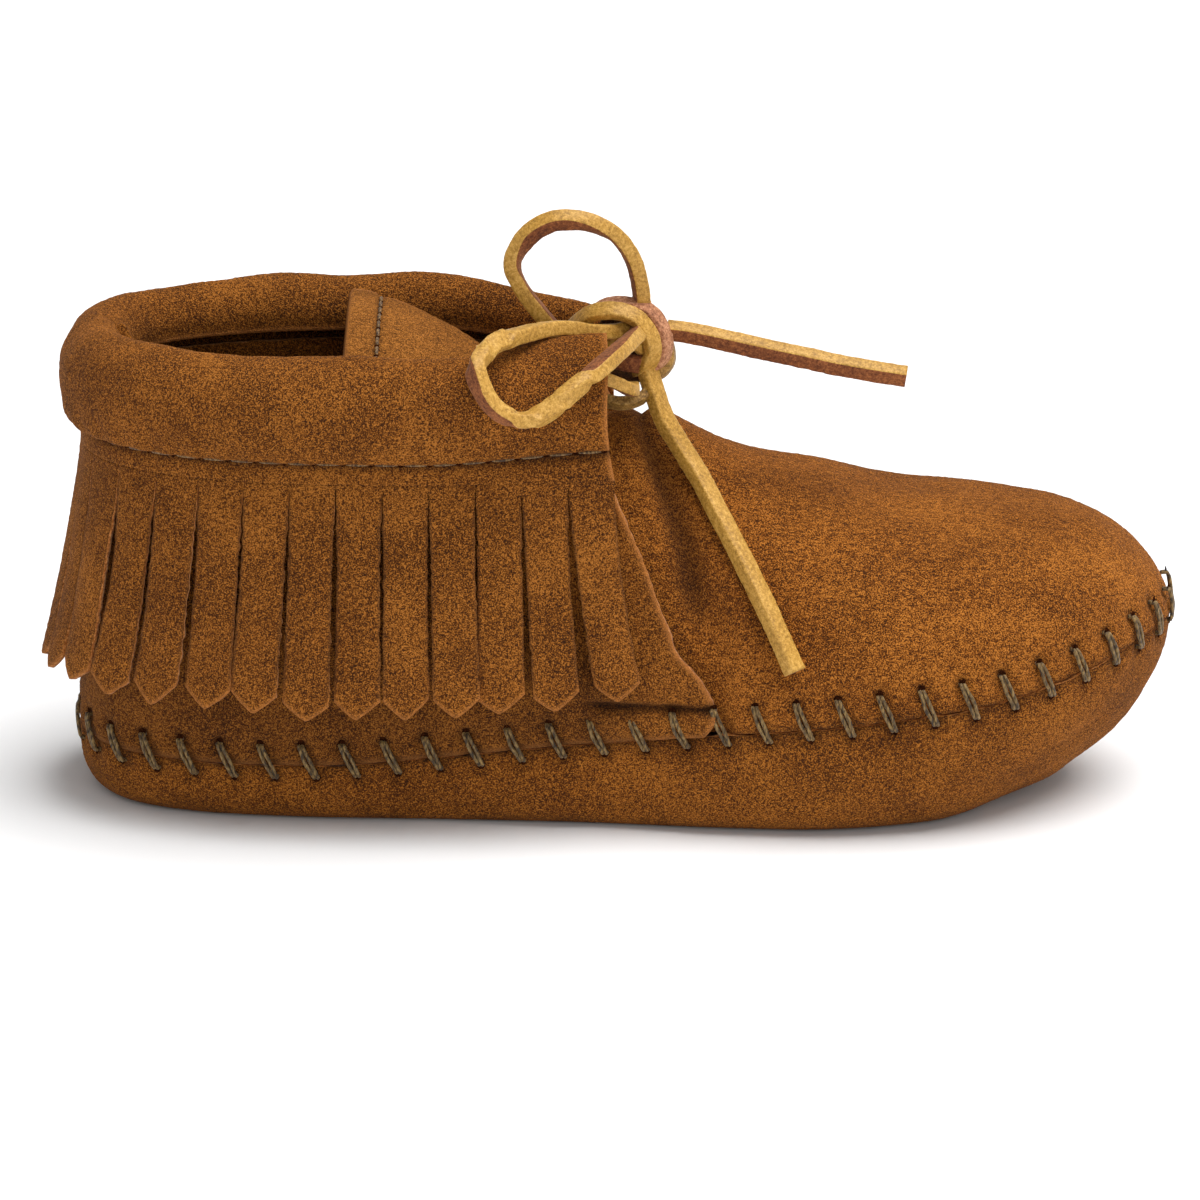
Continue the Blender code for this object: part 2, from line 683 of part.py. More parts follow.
UPPER_LOOP = [(7.5, -10.3, 118.8), (5.9, -12, 126.1), (2.6, -13, 131.7), (-2.2, -13.5, 134.8), (-7.6, -14, 136.1),
              (-13.1, -14, 135.4), (-18, -13.5, 131.8), (-20.9, -13, 126.4), (-19.8, -12.5, 121.3),
              (-16.2, -12, 115.8), (-10.2, -10.7, 108.7)]
LOWER_LOOP = [(-1.8, -17.6, 111.4), (-11.3, -24, 114), (-19.2, -32, 114.6), (-24.6, -39, 114.6),
              (-28.1, -46, 112.4), (-28.4, -49, 110.3), (-25.9, -50.5, 105.1), (-22.7, -50.5, 102),
              (-18.3, -49.5, 100.3), (-13.3, -48.5, 101.9), (-7.5, -45.4, 105.9), (-1.6, -39.4, 109.3),
              (3.3, -30.5, 111.3), (5.9, -20, 110.8)]
FRONT_TAIL = [(17.6, -10.1, 109.2), (25, -11, 107.9), (36.2, -12, 105.6), (44.5, -12.5, 103.9),
              (52.7, -13, 102.2), (66.7, -14, 100.1)]
SIDE_TAIL = [(10.2, -14, 97.6), (12.9, -15.2, 90.4), (16.8, -17.6, 84.2), (20.7, -21.5, 78.7),
             (24.6, -26.5, 72.3), (28.4, -31, 66.1), (31.7, -35, 60.4), (34.9, -39, 54.7), (38.2, -43, 48.3),
             (41.5, -45.8, 41.2)]
COLLAR_RUN_HEIGHT = 101.5


def make_knot(material):
    """A rounded lump with a flat back, in place of the tied knot."""
    rings = 9
    sides = 12
    turn = math.radians(KNOT_TURN)
    vertices = []
    for i in range(1, rings):
        lift = math.pi * i / rings
        for k in range(sides):
            angle = 2 * math.pi * k / sides
            x = KNOT_SIZE[0] / 2 * math.cos(lift)
            y = KNOT_SIZE[1] / 2 * math.sin(lift) * math.cos(angle)
            z = KNOT_SIZE[2] / 2 * math.sin(lift) * math.sin(angle)
            vertices.append((x * math.cos(turn) + z * math.sin(turn) + KNOT_CENTRE[0],
                             y + KNOT_CENTRE[1],
                             -x * math.sin(turn) + z * math.cos(turn) + KNOT_CENTRE[2]))
    faces = [tuple(range(sides))]
    for i in range(rings - 2):
        for k in range(sides):
            a = i * sides + k
            b = i * sides + (k + 1) % sides
            faces.append((a, a + sides, b + sides, b))
    start = (rings - 2) * sides
    faces.append(tuple(start + k for k in reversed(range(sides))))
    return make_object("lace_knot", vertices, faces, material)


def make_collar_run(material):
    """The lace's hidden run inside the cuff, out at both fronts and in to the knot."""
    round_collar = collar_points(np.linspace(0.003, 0.997, 34), COLLAR_RUN_HEIGHT, -1.0)
    lateral = [(5.5, -17.5, 98.5), (5, -24, 100)]
    medial = [(6.5, 1.8, 103.5), (6.5, 12, 102.5), (5, 21, 101.5)]
    route = lateral + [tuple(point) for point in round_collar] + medial[::-1]
    return tube("lace_collar_run", route, LACE_DIAMETER / 2 - 0.3, 8, material)


# ---------------------------------------------------------------- the shoe

def clear_scene():
    for item in list(bpy.data.objects):
        bpy.data.objects.remove(item, do_unlink=True)


def build():
    clear_scene()
    suede = make_material("suede", (0.26, 0.10, 0.03), 0.9)
    sole_suede = make_material("sole suede", (0.24, 0.09, 0.028), 0.9)
    lining = make_material("footbed cloth", (0.20, 0.10, 0.05), 0.95)
    thread = make_material("waxed thread", (0.19, 0.13, 0.05), 0.6)
    rawhide = make_material("rawhide lace", (0.60, 0.34, 0.08), 0.5)

    sole = make_sole(sole_suede)
    make_footbed(lining)
    vamp = make_vamp(suede)
    quarter = make_quarter(suede)
    cut_stitch_holes([sole, vamp, quarter])
    make_cuff(suede)
    make_band(suede)
    for number in range(STRIP_COUNT):
        make_strip(number, suede)
    make_tongue(suede)
    make_whip_thread(thread)
    make_collar_thread(thread)
    make_tongue_thread(thread)
    make_knot(rawhide)
    cord("lace_loop_upper", UPPER_LOOP, rawhide)
    cord("lace_loop_lower", LOWER_LOOP, rawhide)
    cord("lace_tail_front", FRONT_TAIL, rawhide)
    cord("lace_tail_side", SIDE_TAIL, rawhide)
    make_collar_run(rawhide)


build()
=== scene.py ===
"""The fringed ankle moccasin's looks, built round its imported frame.

Shapes follow the frame's own tables in millimetres, at a finer grain, and meshes are written in metres.
FRONT_EDGE, STRIP_TIP, LAP_FRONT, STITCH_SLANT and the knot's place are this script's own, a few
millimetres off the frame's, and so is the height of the whip stitches.
The toe points along +X and the lateral side, which the camera sees, is -Y.
"""

import math

import bmesh
import bpy
import numpy as np
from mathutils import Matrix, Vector, noise


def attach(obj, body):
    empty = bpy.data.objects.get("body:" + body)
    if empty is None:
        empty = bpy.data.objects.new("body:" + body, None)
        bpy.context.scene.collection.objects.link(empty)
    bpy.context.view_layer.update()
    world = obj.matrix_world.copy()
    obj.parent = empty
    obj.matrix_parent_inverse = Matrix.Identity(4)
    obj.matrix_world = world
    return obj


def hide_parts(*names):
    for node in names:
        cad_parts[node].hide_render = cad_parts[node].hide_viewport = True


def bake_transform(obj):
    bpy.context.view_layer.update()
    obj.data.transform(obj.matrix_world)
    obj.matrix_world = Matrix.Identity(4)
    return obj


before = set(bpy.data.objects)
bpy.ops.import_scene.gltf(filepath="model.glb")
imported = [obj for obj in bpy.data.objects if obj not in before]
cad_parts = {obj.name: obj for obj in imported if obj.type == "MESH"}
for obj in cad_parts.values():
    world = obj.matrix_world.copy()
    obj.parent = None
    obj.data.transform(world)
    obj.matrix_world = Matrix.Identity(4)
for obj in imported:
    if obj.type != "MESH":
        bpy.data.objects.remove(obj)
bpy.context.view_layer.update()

MM = 0.001
GAP = 0.3
SHOE = "shoe"
TONGUE = "tongue"

# ---- driving sizes, in millimetres

SEAM_OUTLINE = [
    (-121, 0), (-118, -12), (-109, -22), (-93, -28.5), (-68, -32), (-38, -33.5), (-8, -36), (20, -40.5),
    (45, -44.5), (64, -45), (82, -42.5), (98, -36.5), (112, -27.5), (122, -16), (128, -4),
    (128.5, 7), (123, 20), (113, 30), (98, 38.5), (82, 43), (64, 44), (45, 41.5), (20, 35.5), (-8, 31.5),
    (-38, 31), (-68, 31.5), (-93, 28.5), (-109, 22), (-118, 12)]
SEAM_HEIGHT = [(-121, 15), (-90, 14), (-60, 14.5), (-36, 17), (0, 21.5), (37, 26), (67, 29.5), (93, 33),
               (106, 36), (119, 39.5), (128.5, 41)]
COLLAR_OUTLINE = [(-117, 0), (-114.5, -12), (-107, -23), (-93, -31.5), (-74, -36.5), (-50, -38.5),
                  (-28, -38.5), (-10, -38), (4, -37), (14, -34.5)]
RIDGE_HEIGHT = [(-10, 88), (5, 85.5), (17, 83), (30, 79.5), (45, 75.5), (56, 72.5), (67, 70), (81, 68.5),
                (94, 67), (105, 64.5), (114, 60.5), (122, 54), (126.5, 48), (129, 42.5)]
FRONT_EDGE = [(18, 22.5), (24, 24.3), (31, 23.8), (36, 21.8), (39, 19.5), (42, 16.3), (48, 13.8), (56, 10.8),
              (62, 8.8), (70, 5.5), (78, 2.0), (86, -0.5), (95, -1)]

SOLE_THICKNESS = 2.0
UPPER_THICKNESS = 1.6
FRINGE_THICKNESS = 1.5
CUFF_THICKNESS = 1.8
SOLE_FULLNESS = [(0, 0.75), (40, 0.78), (90, 1.05), (128, 1.15)]
VAMP_FULLNESS = 0.85
SOLE_INSET = [(-121, 9), (0, 9), (30, 11), (60, 15), (80, 20), (100, 28), (128, 38)]
SPINE_ENDS = (-92.0, 74.0)
INSIDE_HEIGHT = 45.0
LAP_FRONT = 31.0
VAMP_BACK = -8.0
VAMP_TIP = 128.5

WALL_REACH = 34.0
WALL_TOP = 95.0
COLLAR_LEVEL = 80.0
LEAN_LEVEL = 80.0
LEAN = 11.0
LEAN_BACK = -42.0
FRONT_RISE = (2.5, -4.5)
LEAN_FRONT = 2.0
RISE_SPAN = 10.0
COLLAR_FRONT = [(82, 1.6), (88, 0.2), (112, 0.0)]
CUFF_BOTTOM = 87.7
CUFF_TOP = 110.5
BAND_TOP = 92.5
BAND_BOTTOM = 83.0
BAND_BACK = 0.5

STRIP_COUNT = 27
STRIP_TOP = BAND_BOTTOM - GAP
STRIP_TIP = [(-120, 31.5), (-40, 30.5), (2, 33.0)]
FRINGE_LENGTH = 54.0
STRIP_POINT = 4.5
FRINGE_FAN = 0.09
FRINGE_CENTRE = -36.0
STRIP_FLARE = 3.0

STITCH_COUNT = 62
STITCH_REACH = 4.6
STITCH_SLANT = 3.4
STITCH_LIFT = (0.2, 1.6)        # the upper holes rise by the first at the heel, and by both at the ball
LOWER_RISE = 1.9                # the lower holes sit this much nearer the seam

TONGUE_BASE = VAMP_BACK - GAP
TONGUE_END = -59.0
TONGUE_HALF_WIDTHS = (19.0, 26.0)
TONGUE_ARCH = (6.5, 2.0)
TONGUE_END_HEIGHT = 107.5
TONGUE_TILT = 4.0
TONGUE_HEM = 9.0

UPPER_LOOP = [(7.5, -10.3, 118.8), (5.9, -12, 126.1), (2.6, -13, 131.7), (-2.2, -13.5, 134.8),
              (-7.6, -14, 136.1), (-13.1, -14, 135.4), (-18, -13.5, 131.8), (-20.9, -13, 126.4),
              (-19.8, -12.5, 121.3),
              (-16.2, -12, 115.8), (-10.2, -10.7, 108.7)]
LOWER_LOOP = [(-1.8, -17.6, 111.4), (-11.3, -24, 114), (-19.2, -32, 114.6), (-24.6, -39, 114.6),
              (-28.1, -46, 112.4), (-28.4, -49, 110.3), (-25.9, -50.5, 105.1), (-22.7, -50.5, 102),
              (-18.3, -49.5, 100.3), (-13.3, -48.5, 101.9), (-7.5, -45.4, 105.9), (-1.6, -39.4, 109.3),
              (3.3, -30.5, 111.3), (5.9, -20, 110.8)]
FRONT_TAIL = [(17.6, -10.1, 109.2), (25, -11, 107.9), (36.2, -12, 105.6), (44.5, -12.5, 103.9),
              (52.7, -13, 102.2), (66.7, -14, 100.1)]
SIDE_TAIL = [(10.2, -14, 97.6), (12.9, -15.2, 90.4), (16.8, -17.6, 84.2), (20.7, -21.5, 78.7),
             (24.6, -26.5, 72.3), (28.4, -31, 66.1), (31.7, -35, 60.4), (34.9, -39, 54.7), (38.2, -43, 48.3),
             (41.5, -45.8, 41.2)]
COLLAR_RUN_HEIGHT = 101.5


# ---- numbers and outlines

def table_value(table, x):
    """Smooth value of a table of (x, value) stations at x, held level past both ends."""
    xs, values = np.array(table, float).T
    slopes = np.gradient(values, xs)
    x = np.clip(np.asarray(x, float), xs[0], xs[-1])
    i = np.clip(np.searchsorted(xs, x) - 1, 0, len(xs) - 2)
    width = xs[i + 1] - xs[i]
    t = (x - xs[i]) / width
    start = (2 * t**3 - 3 * t**2 + 1) * values[i] + (t**3 - 2 * t**2 + t) * width * slopes[i]
    end = (3 * t**2 - 2 * t**3) * values[i + 1] + (t**3 - t**2) * width * slopes[i + 1]
    return start + end


def ease(t):
    """0 to 1 with level ends."""
    t = np.clip(t, 0.0, 1.0)
    return t * t * (3 - 2 * t)


def hump(x, centre, width):
    """A smooth bump of height 1."""
    return np.exp(-((x - centre) / width) ** 2)


def between(a, b, c, d, t):
    """Catmull-Rom value between b and c, at t from 0 to 1."""
    return 0.5 * (2 * b + (c - a) * t + (2 * a - 5 * b + 4 * c - d) * t**2 + (3 * b - a - 3 * c + d) * t**3)


def spline(points, closed=False, steps=12):
    """Catmull-Rom curve through the points."""
    points = np.array(points, float)
    if closed:
        points = np.vstack([points[-1:], points, points[:2]])
    else:
        points = np.vstack([2 * points[0] - points[1], points, 2 * points[-1] - points[-2]])
    runs = zip(points, points[1:], points[2:], points[3:])
    result = [between(a, b, c, d, step / steps) for a, b, c, d in runs for step in range(steps)]
    return np.array(result + [points[-2]])


def unit(ways):
    """Rows of ways, each brought to length 1."""
    return ways / np.linalg.norm(ways, axis=1, keepdims=True)


def curve_lengths(curve):
    return np.concatenate([[0], np.cumsum(np.linalg.norm(np.diff(curve, axis=0), axis=1))])


def resample(curve, fractions):
    """Points at the given fractions of a polyline's length."""
    lengths = curve_lengths(curve)
    wanted = np.array(fractions) * lengths[-1]
    return np.stack([np.interp(wanted, lengths, curve[:, k]) for k in range(curve.shape[1])], axis=1)


SEAM_CURVE = spline(SEAM_OUTLINE, closed=True)
SEAM_LENGTH = curve_lengths(SEAM_CURVE)[-1]
LATERAL_COLLAR = spline(COLLAR_OUTLINE)


def seam_points(fractions):
    """Points on the seam line, fraction 0 and 1 at the heel, running along the lateral side first."""
    flat = resample(SEAM_CURVE, np.mod(fractions, 1.0))
    return np.column_stack([flat, table_value(SEAM_HEIGHT, flat[:, 0])])


def seam_outward(fractions):
    """Unit vectors in plan, square to the seam and away from the shoe."""
    fractions = np.asarray(fractions)
    along = seam_points(fractions + 0.002) - seam_points(fractions - 0.002)
    outward = np.column_stack([along[:, 1], -along[:, 0], np.zeros(len(along))])
    return unit(outward)


def seam_half(side):
    """The seam's lateral (-1) or medial (+1) half, from heel to toe, in plan."""
    toe = int(np.argmax(SEAM_CURVE[:, 0]))
    return SEAM_CURVE[:toe + 1] if side < 0 else SEAM_CURVE[:toe - 1:-1]


def seam_width(x, side):
    """Seam's Y at x, side -1 lateral or +1 medial."""
    run = seam_half(side)
    return np.interp(x, run[:, 0], run[:, 1])


def smooth_rows(grid, count):
    """The grid with count rows, on smooth curves through its own rows."""
    last = len(grid) - 1
    place = np.linspace(0, last, count)
    i = np.minimum(place.astype(int), last - 1)
    t = (place - i).reshape(-1, *[1] * (grid.ndim - 1))
    rows = np.concatenate([[2 * grid[0] - grid[1]], grid, [2 * grid[-1] - grid[-2]]])
    return between(*(rows[i + k] for k in range(4)), t)


def refine(grid, rows, columns):
    """A smooth grid of rows by columns through a coarser one."""
    return smooth_rows(smooth_rows(grid, rows).swapaxes(0, 1), columns).swapaxes(0, 1)


def grid_normals(grid):
    """Unit normals of a grid of points, rows by columns."""
    normals = np.cross(np.gradient(grid, axis=0), np.gradient(grid, axis=1))
    return normals / np.maximum(np.linalg.norm(normals, axis=2, keepdims=True), 1e-9)


def facing(grid):
    """Unit normals of a grid that point out of the shoe, and whether its faces turn over for that."""
    normals = grid_normals(grid)
    x = np.clip(grid[..., 0], *SPINE_ENDS)
    inside = np.stack([x, np.zeros_like(x), np.full_like(x, INSIDE_HEIGHT)], axis=2)
    turned = (normals * (grid - inside)).sum() < 0
    return (-normals if turned else normals), bool(turned)


def rough(points, size, seed=0.0):
    """Smooth noise from -1 to 1 at points in millimetres, for waves of the given size."""
    flat = np.asarray(points).reshape(-1, 3) / size + seed
    values = np.array([noise.noise(Vector(point)) for point in flat.tolist()])
    return values.reshape(np.asarray(points).shape[:-1])


# ---- making objects

NAP_SIZE = 0.9
NAP_DEPTH = 0.16
SEAM_SINK = 0.4                 # depth of the seam's groove, and the strength of the painted shade in it
# strength of the painted shade in the stitch dents
DENT_SHADE = 0.55


def link_mesh(name, vertices, faces, materials, face_materials=None, attributes=None):
    """Smooth mesh object from vertices in millimetres."""
    mesh = bpy.data.meshes.new(name)
    mesh.from_pydata((np.asarray(vertices, float) * MM).tolist(), [], faces)
    for material in materials:
        mesh.materials.append(material)
    if face_materials is not None:
        mesh.polygons.foreach_set("material_index", np.asarray(face_materials, np.int32))
    for key, values in (attributes or {}).items():
        layer = mesh.attributes.new(key, "FLOAT", "POINT")
        layer.data.foreach_set("value", np.asarray(values, np.float32).ravel())
    mesh.shade_smooth()
    item = bpy.data.objects.new(name, mesh)
    bpy.context.collection.objects.link(item)
    return item


def grid_faces(rows, columns, flip=False):
    corner = (np.arange(rows - 1)[:, None] * columns + np.arange(columns - 1)).ravel()
    quads = np.stack([corner, corner + columns, corner + columns + 1, corner + 1], axis=1)
    return (quads[:, ::-1] if flip else quads).tolist()


def grid_object(name, grid, materials, thickness=0.0, flip=False, attributes=None):
    """A skin through a grid of points; its thickness goes inward and its rim takes the last material."""
    rows, columns = grid.shape[:2]
    faces = grid_faces(rows, columns, flip)
    item = link_mesh(name, grid.reshape(-1, 3), faces, materials, attributes=attributes)
    if thickness:
        skin = item.modifiers.new("thickness", "SOLIDIFY")
        skin.thickness = thickness * MM
        skin.offset = -1
        skin.material_offset_rim = len(materials) - 1
    return item


def square_to(direction, helper):
    """Two unit ways square to a direction, the first also square to helper."""
    across = np.cross(direction, helper)
    across /= np.linalg.norm(across)
    return across, np.cross(direction, across)


def tube_faces(start, rings, sides):
    """Sides of a tube, ring by ring from vertex start, then its two ends."""
    faces = []
    for i in range(rings - 1):
        ring = start + i * sides
        for k in range(sides):
            after = ring + (k + 1) % sides
            faces.append((ring + k, after, after + sides, ring + k + sides))
    faces.append(tuple(start + k for k in reversed(range(sides))))
    end = start + (rings - 1) * sides
    faces.append(tuple(end + k for k in range(sides)))
    return faces


def suede_skin(name, grid, materials, thickness, flip, edge, shade):
    """A skin whose suede is pale where edge is 1 and darkened with painted shade where shade is 1."""
    return grid_object(name, grid, materials, thickness, flip, {"edge": edge, "shade": shade})


def moved(grid, normals, amount):
    return grid + normals * amount[..., None]


def nap(grid, seed, depth=NAP_DEPTH):
    """Fine relief of the suede's face."""
    return rough(grid, NAP_SIZE, seed) * depth


def groove(steps, width):
    """1 on the seam, falling to 0 within a few grid steps of it."""
    return np.exp(-(steps / width) ** 2)


def sewn(grid, normals, seed, seam):
    """The skin with stitch dents, nap and the seam's groove, and the painted shade that darkens the dents and
    groove.
    """
    grid, dent = pulled(grid, normals)
    grid = moved(grid, normals, nap(grid, seed))
    return moved(grid, normals, -SEAM_SINK * seam), dent * DENT_SHADE + SEAM_SINK * seam


def joined_tubes(name, runs, radius, sides, materials):
    """One mesh of many round threads, each following its own points."""
    vertices = []
    faces = []
    for run in runs:
        run = np.asarray(run, float)
        tangents = unit(np.gradient(run, axis=0))
        helper = np.array([0.0, 0.0, 1.0]) if abs(tangents[0][2]) < 0.8 else np.array([0.0, 1.0, 0.0])
        start = len(vertices)
        for point, tangent in zip(run, tangents):
            across, upward = square_to(tangent, helper)
            for k in range(sides):
                angle = 2 * math.pi * k / sides
                vertices.append(point + radius * (math.cos(angle) * across + math.sin(angle) * upward))
        faces += tube_faces(start, len(run), sides)
    return link_mesh(name, vertices, faces, materials)


def ride(item, body, *nodes):
    """Ride on a body and stand for its CAD nodes."""
    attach(item, body)
    if nodes:
        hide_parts(*nodes)
    return item


# ---- materials

def linear(red, green, blue):
    """Linear colour of an 8-bit display colour."""
    values = []
    for value in (red, green, blue):
        share = value / 255
        values.append(share / 12.92 if share <= 0.04045 else ((share + 0.055) / 1.055) ** 2.4)
    return (*values, 1.0)


class Nodes:
    """A new material and short calls that add nodes to it."""

    def __init__(self, name, roughness, specular=0.3):
        self.material = bpy.data.materials.new(name)
        self.material.use_nodes = True
        self.tree = self.material.node_tree
        self.shader = self.tree.nodes["Principled BSDF"]
        self.shader.inputs["Roughness"].default_value = roughness
        self.shader.inputs["Specular IOR Level"].default_value = specular
        self.place = self.add("ShaderNodeTexCoord").outputs["Object"]

    def add(self, kind, **settings):
        node = self.tree.nodes.new(kind)
        for key, value in settings.items():
            setattr(node, key, value)
        return node

    def wire(self, source, target):
        self.tree.links.new(source, target)

    def noise(self, size, detail=2.0, stretch=(1, 1, 1)):
        """Noise whose features are size millimetres across, drawn out along an axis by stretch."""
        mapping = self.add("ShaderNodeMapping")
        mapping.inputs["Scale"].default_value = tuple(1.0 / (size * MM * part) for part in stretch)
        self.wire(self.place, mapping.inputs["Vector"])
        node = self.add("ShaderNodeTexNoise")
        node.inputs["Scale"].default_value = 1.0
        node.inputs["Detail"].default_value = detail
        self.wire(mapping.outputs["Vector"], node.inputs["Vector"])
        return node.outputs["Fac"]

    def math(self, operation, first, second):
        node = self.add("ShaderNodeMath", operation=operation)
        for socket, value in zip(node.inputs, (first, second)):
            if isinstance(value, (int, float)):
                socket.default_value = value
            else:
                self.wire(value, socket)
        return node.outputs[0]

    def weighted(self, *parts):
        """Sum of outputs, each times its own weight."""
        total = None
        for output, weight in parts:
            share = self.math("MULTIPLY", output, weight)
            total = share if total is None else self.math("ADD", total, share)
        return total

    def ramp(self, factor, places, colours):
        """Colours at places along a factor; the colours are 8-bit display colours."""
        node = self.add("ShaderNodeValToRGB")
        bar = node.color_ramp
        while len(bar.elements) < len(places):
            bar.elements.new(0.5)
        for element, place, colour in zip(bar.elements, places, colours):
            element.position = place
            element.color = linear(*colour)
        self.wire(factor, node.inputs["Fac"])
        return node.outputs["Color"]

    def mix(self, factor, first, second, blend="MIX"):
        node = self.add("ShaderNodeMix", data_type="RGBA", blend_type=blend)
        sockets = (node.inputs[0], node.inputs[6], node.inputs[7])
        for socket, value in zip(sockets, (factor, first, second)):
            if isinstance(value, (int, float, tuple)):
                socket.default_value = value
            else:
                self.wire(value, socket)
        return node.outputs[2]

    def attribute(self, name):
        return self.add("ShaderNodeAttribute", attribute_name=name).outputs["Fac"]

    def bump(self, height, strength, distance):
        node = self.add("ShaderNodeBump")
        node.inputs["Strength"].default_value = strength
        node.inputs["Distance"].default_value = distance * MM
        self.wire(height, node.inputs["Height"])
        self.wire(node.outputs["Normal"], self.shader.inputs["Normal"])

    def finish(self, colour, sheen=0.0, tint=(1, 1, 1, 1)):
        self.wire(colour, self.shader.inputs["Base Color"])
        self.shader.inputs["Sheen Weight"].default_value = sheen
        self.shader.inputs["Sheen Roughness"].default_value = 0.45
        self.shader.inputs["Sheen Tint"].default_value = tint
        return self.material


def suede(name, dark, middle, light, streak=(1, 1, 1), pale=(176, 112, 56)):
    """Brushed suede: speckled nap, soft patches, streaks where it has been stroked, pale worn edges, and
    painted shade where the shade attribute says.
    """
    nodes = Nodes(name, 0.95, 0.15)
    speckle = nodes.noise(0.3, 1.0)
    brushed = nodes.noise(0.8, 2.0, streak)
    patches = nodes.noise(16.0, 3.0, streak)
    grain = nodes.weighted((speckle, 0.74), (brushed, 0.26))
    tone = nodes.weighted((grain, 0.84), (patches, 0.16))
    colour = nodes.ramp(tone, (0.40, 0.50, 0.60), (dark, middle, light))
    worn = nodes.math("MULTIPLY", nodes.attribute("edge"), nodes.math("ADD", speckle, 0.35))
    colour = nodes.mix(worn, colour, linear(*pale))
    # painted shade: the shade attribute mixes in a near-black brown, standing for shade in dents, grooves,
    # creases and under overlaps
    shade = nodes.math("MULTIPLY", nodes.attribute("shade"), 0.85)
    colour = nodes.mix(shade, colour, linear(24, 10, 5))
    nodes.bump(grain, 0.9, 0.7)
    return nodes.finish(colour, 0.15, linear(215, 140, 70))


def fibrous(nodes, grain, places, colours, bump, sheen=0.0, tint=(255, 255, 255)):
    """One noise for colour and relief; grain is its size, detail and stretch, bump its strength and depth."""
    fibres = nodes.noise(*grain)
    colour = nodes.ramp(fibres, places, colours)
    nodes.bump(fibres, *bump)
    return nodes.finish(colour, sheen, linear(*tint))


def cut_edge(name):
    """The raw cut edge of the suede, paler and more fibrous than its face."""
    colours = ((116, 64, 26), (160, 98, 46), (196, 134, 76))
    return fibrous(Nodes(name, 0.95, 0.1), (0.5, 3.0),
    (0.35, 0.5, 0.68), colours, (0.6, 0.4), 0.2, (240, 200, 160))


def rawhide(name, dark, middle, light, roughness):
    """Lace leather: mottled, waxy on its grain side, with short scuffs."""
    nodes = Nodes(name, roughness, 0.35)
    mottle = nodes.noise(0.8, 3.0)
    fine = nodes.noise(0.35, 2.0)
    patches = nodes.noise(9.0, 2.0)
    tone = nodes.weighted((mottle, 0.45), (fine, 0.35), (patches, 0.2))
    colour = nodes.ramp(tone, (0.37, 0.50, 0.63), (dark, middle, light))
    nodes.bump(tone, 0.5, 0.4)
    return nodes.finish(colour, 0.1, linear(250, 220, 160))


def thread(name, dark, middle, light):
    """Waxed thread: plies that show as short slanted streaks, with dirt between them."""
    colours = (dark, middle, light)
    return fibrous(Nodes(name, 0.6, 0.4), (0.5, 2.0, (1, 1, 3)), (0.36, 0.5, 0.64), colours, (0.8, 0.3), 0.1)


def woven(name):
    """The insole's cloth: a fine plain weave, darker where a foot has rested."""
    nodes = Nodes(name, 0.95, 0.15)
    across = nodes.add("ShaderNodeTexWave", bands_direction="X")
    along = nodes.add("ShaderNodeTexWave", bands_direction="Y")
    for wave in (across, along):
        wave.inputs["Scale"].default_value = 320.0
        wave.inputs["Distortion"].default_value = 0.6
        nodes.wire(nodes.place, wave.inputs["Vector"])
    weave = nodes.math("MULTIPLY", across.outputs["Fac"], along.outputs["Fac"])
    worn = nodes.noise(24.0, 2.0)
    tone = nodes.weighted((weave, 0.5), (worn, 0.5))
    colour = nodes.ramp(tone, (0.2, 0.5, 0.8), ((58, 34, 20), (88, 56, 34), (118, 82, 54)))
    nodes.bump(weave, 0.4, 0.3)
    return nodes.finish(colour, 0.15)


def painted_hole_shade(name):
    """Painted shade for a pierced hole: a near-black brown standing for the shade inside it."""
    return fibrous(Nodes(name, 1.0, 0.0), (0.4, 2.0), (0.4, 0.7), ((26, 11, 5), (62, 30, 14)), (0.3, 0.2))


FLOOR_DARK = (238.614,) * 3
FLOOR_LIGHT = (243.445,) * 3


def plain_floor(name):
    nodes = Nodes(name, 0.8, 0.1)
    colour = nodes.ramp(nodes.noise(400.0, 1.0), (0.3, 0.7), (FLOOR_DARK, FLOOR_LIGHT))
    return nodes.finish(colour)


# ---- stitch places

def stitch_holes():
    """Upper and lower hole centres of every whip stitch, and the way out of the shoe at each."""
    fractions = (np.arange(STITCH_COUNT) + 0.5) / STITCH_COUNT
    slant = STITCH_SLANT / SEAM_LENGTH / 2 * np.where(fractions < 0.5, 1, -1)
    upper = seam_points(fractions - slant)
    lower = seam_points(fractions + slant)
    lift = STITCH_LIFT[0] + STITCH_LIFT[1] * ease((upper[:, 0] + 60) / 110)
    upper[:, 2] += STITCH_REACH + lift
    lower[:, 2] -= STITCH_REACH - LOWER_RISE - 0.4 * lift
    return upper, lower, seam_outward(fractions)


def pulled(grid, normals, depth=1.15, reach=2.0):
    """Dents where the whip stitches pull the leather in, and low swells between them."""
    upper, lower, _ = stitch_holes()
    points = grid.reshape(-1, 3)
    dent = np.zeros(len(points))
    for weight, places in ((1.0, upper), (1.0, lower), (0.6, (upper + lower) / 2)):
        for centre in places:
            near = ((points - centre) ** 2).sum(axis=1)
            dent = np.maximum(dent, weight * np.exp(-near / reach**2))
    dent = dent.reshape(grid.shape[:2])
    return grid - normals * (dent * depth)[..., None], dent


def edge_share(rows, columns, row_step, column_step, reach=0.9, sides=("top", "bottom", "left", "right")):
    """1 at the named edges of a grid, falling to 0 within reach millimetres; steps are its spacings."""
    down = np.arange(rows)[:, None] * row_step * np.ones((1, columns))
    over = np.arange(columns)[None, :] * column_step * np.ones((rows, 1))
    distances = {"top": down, "bottom": down[-1:] - down, "left": over, "right": over[:, -1:] - over}
    nearest = np.min([distances[side] for side in sides], axis=0)
    return np.exp(-(nearest / reach) ** 2)


# ---- sole and footbed

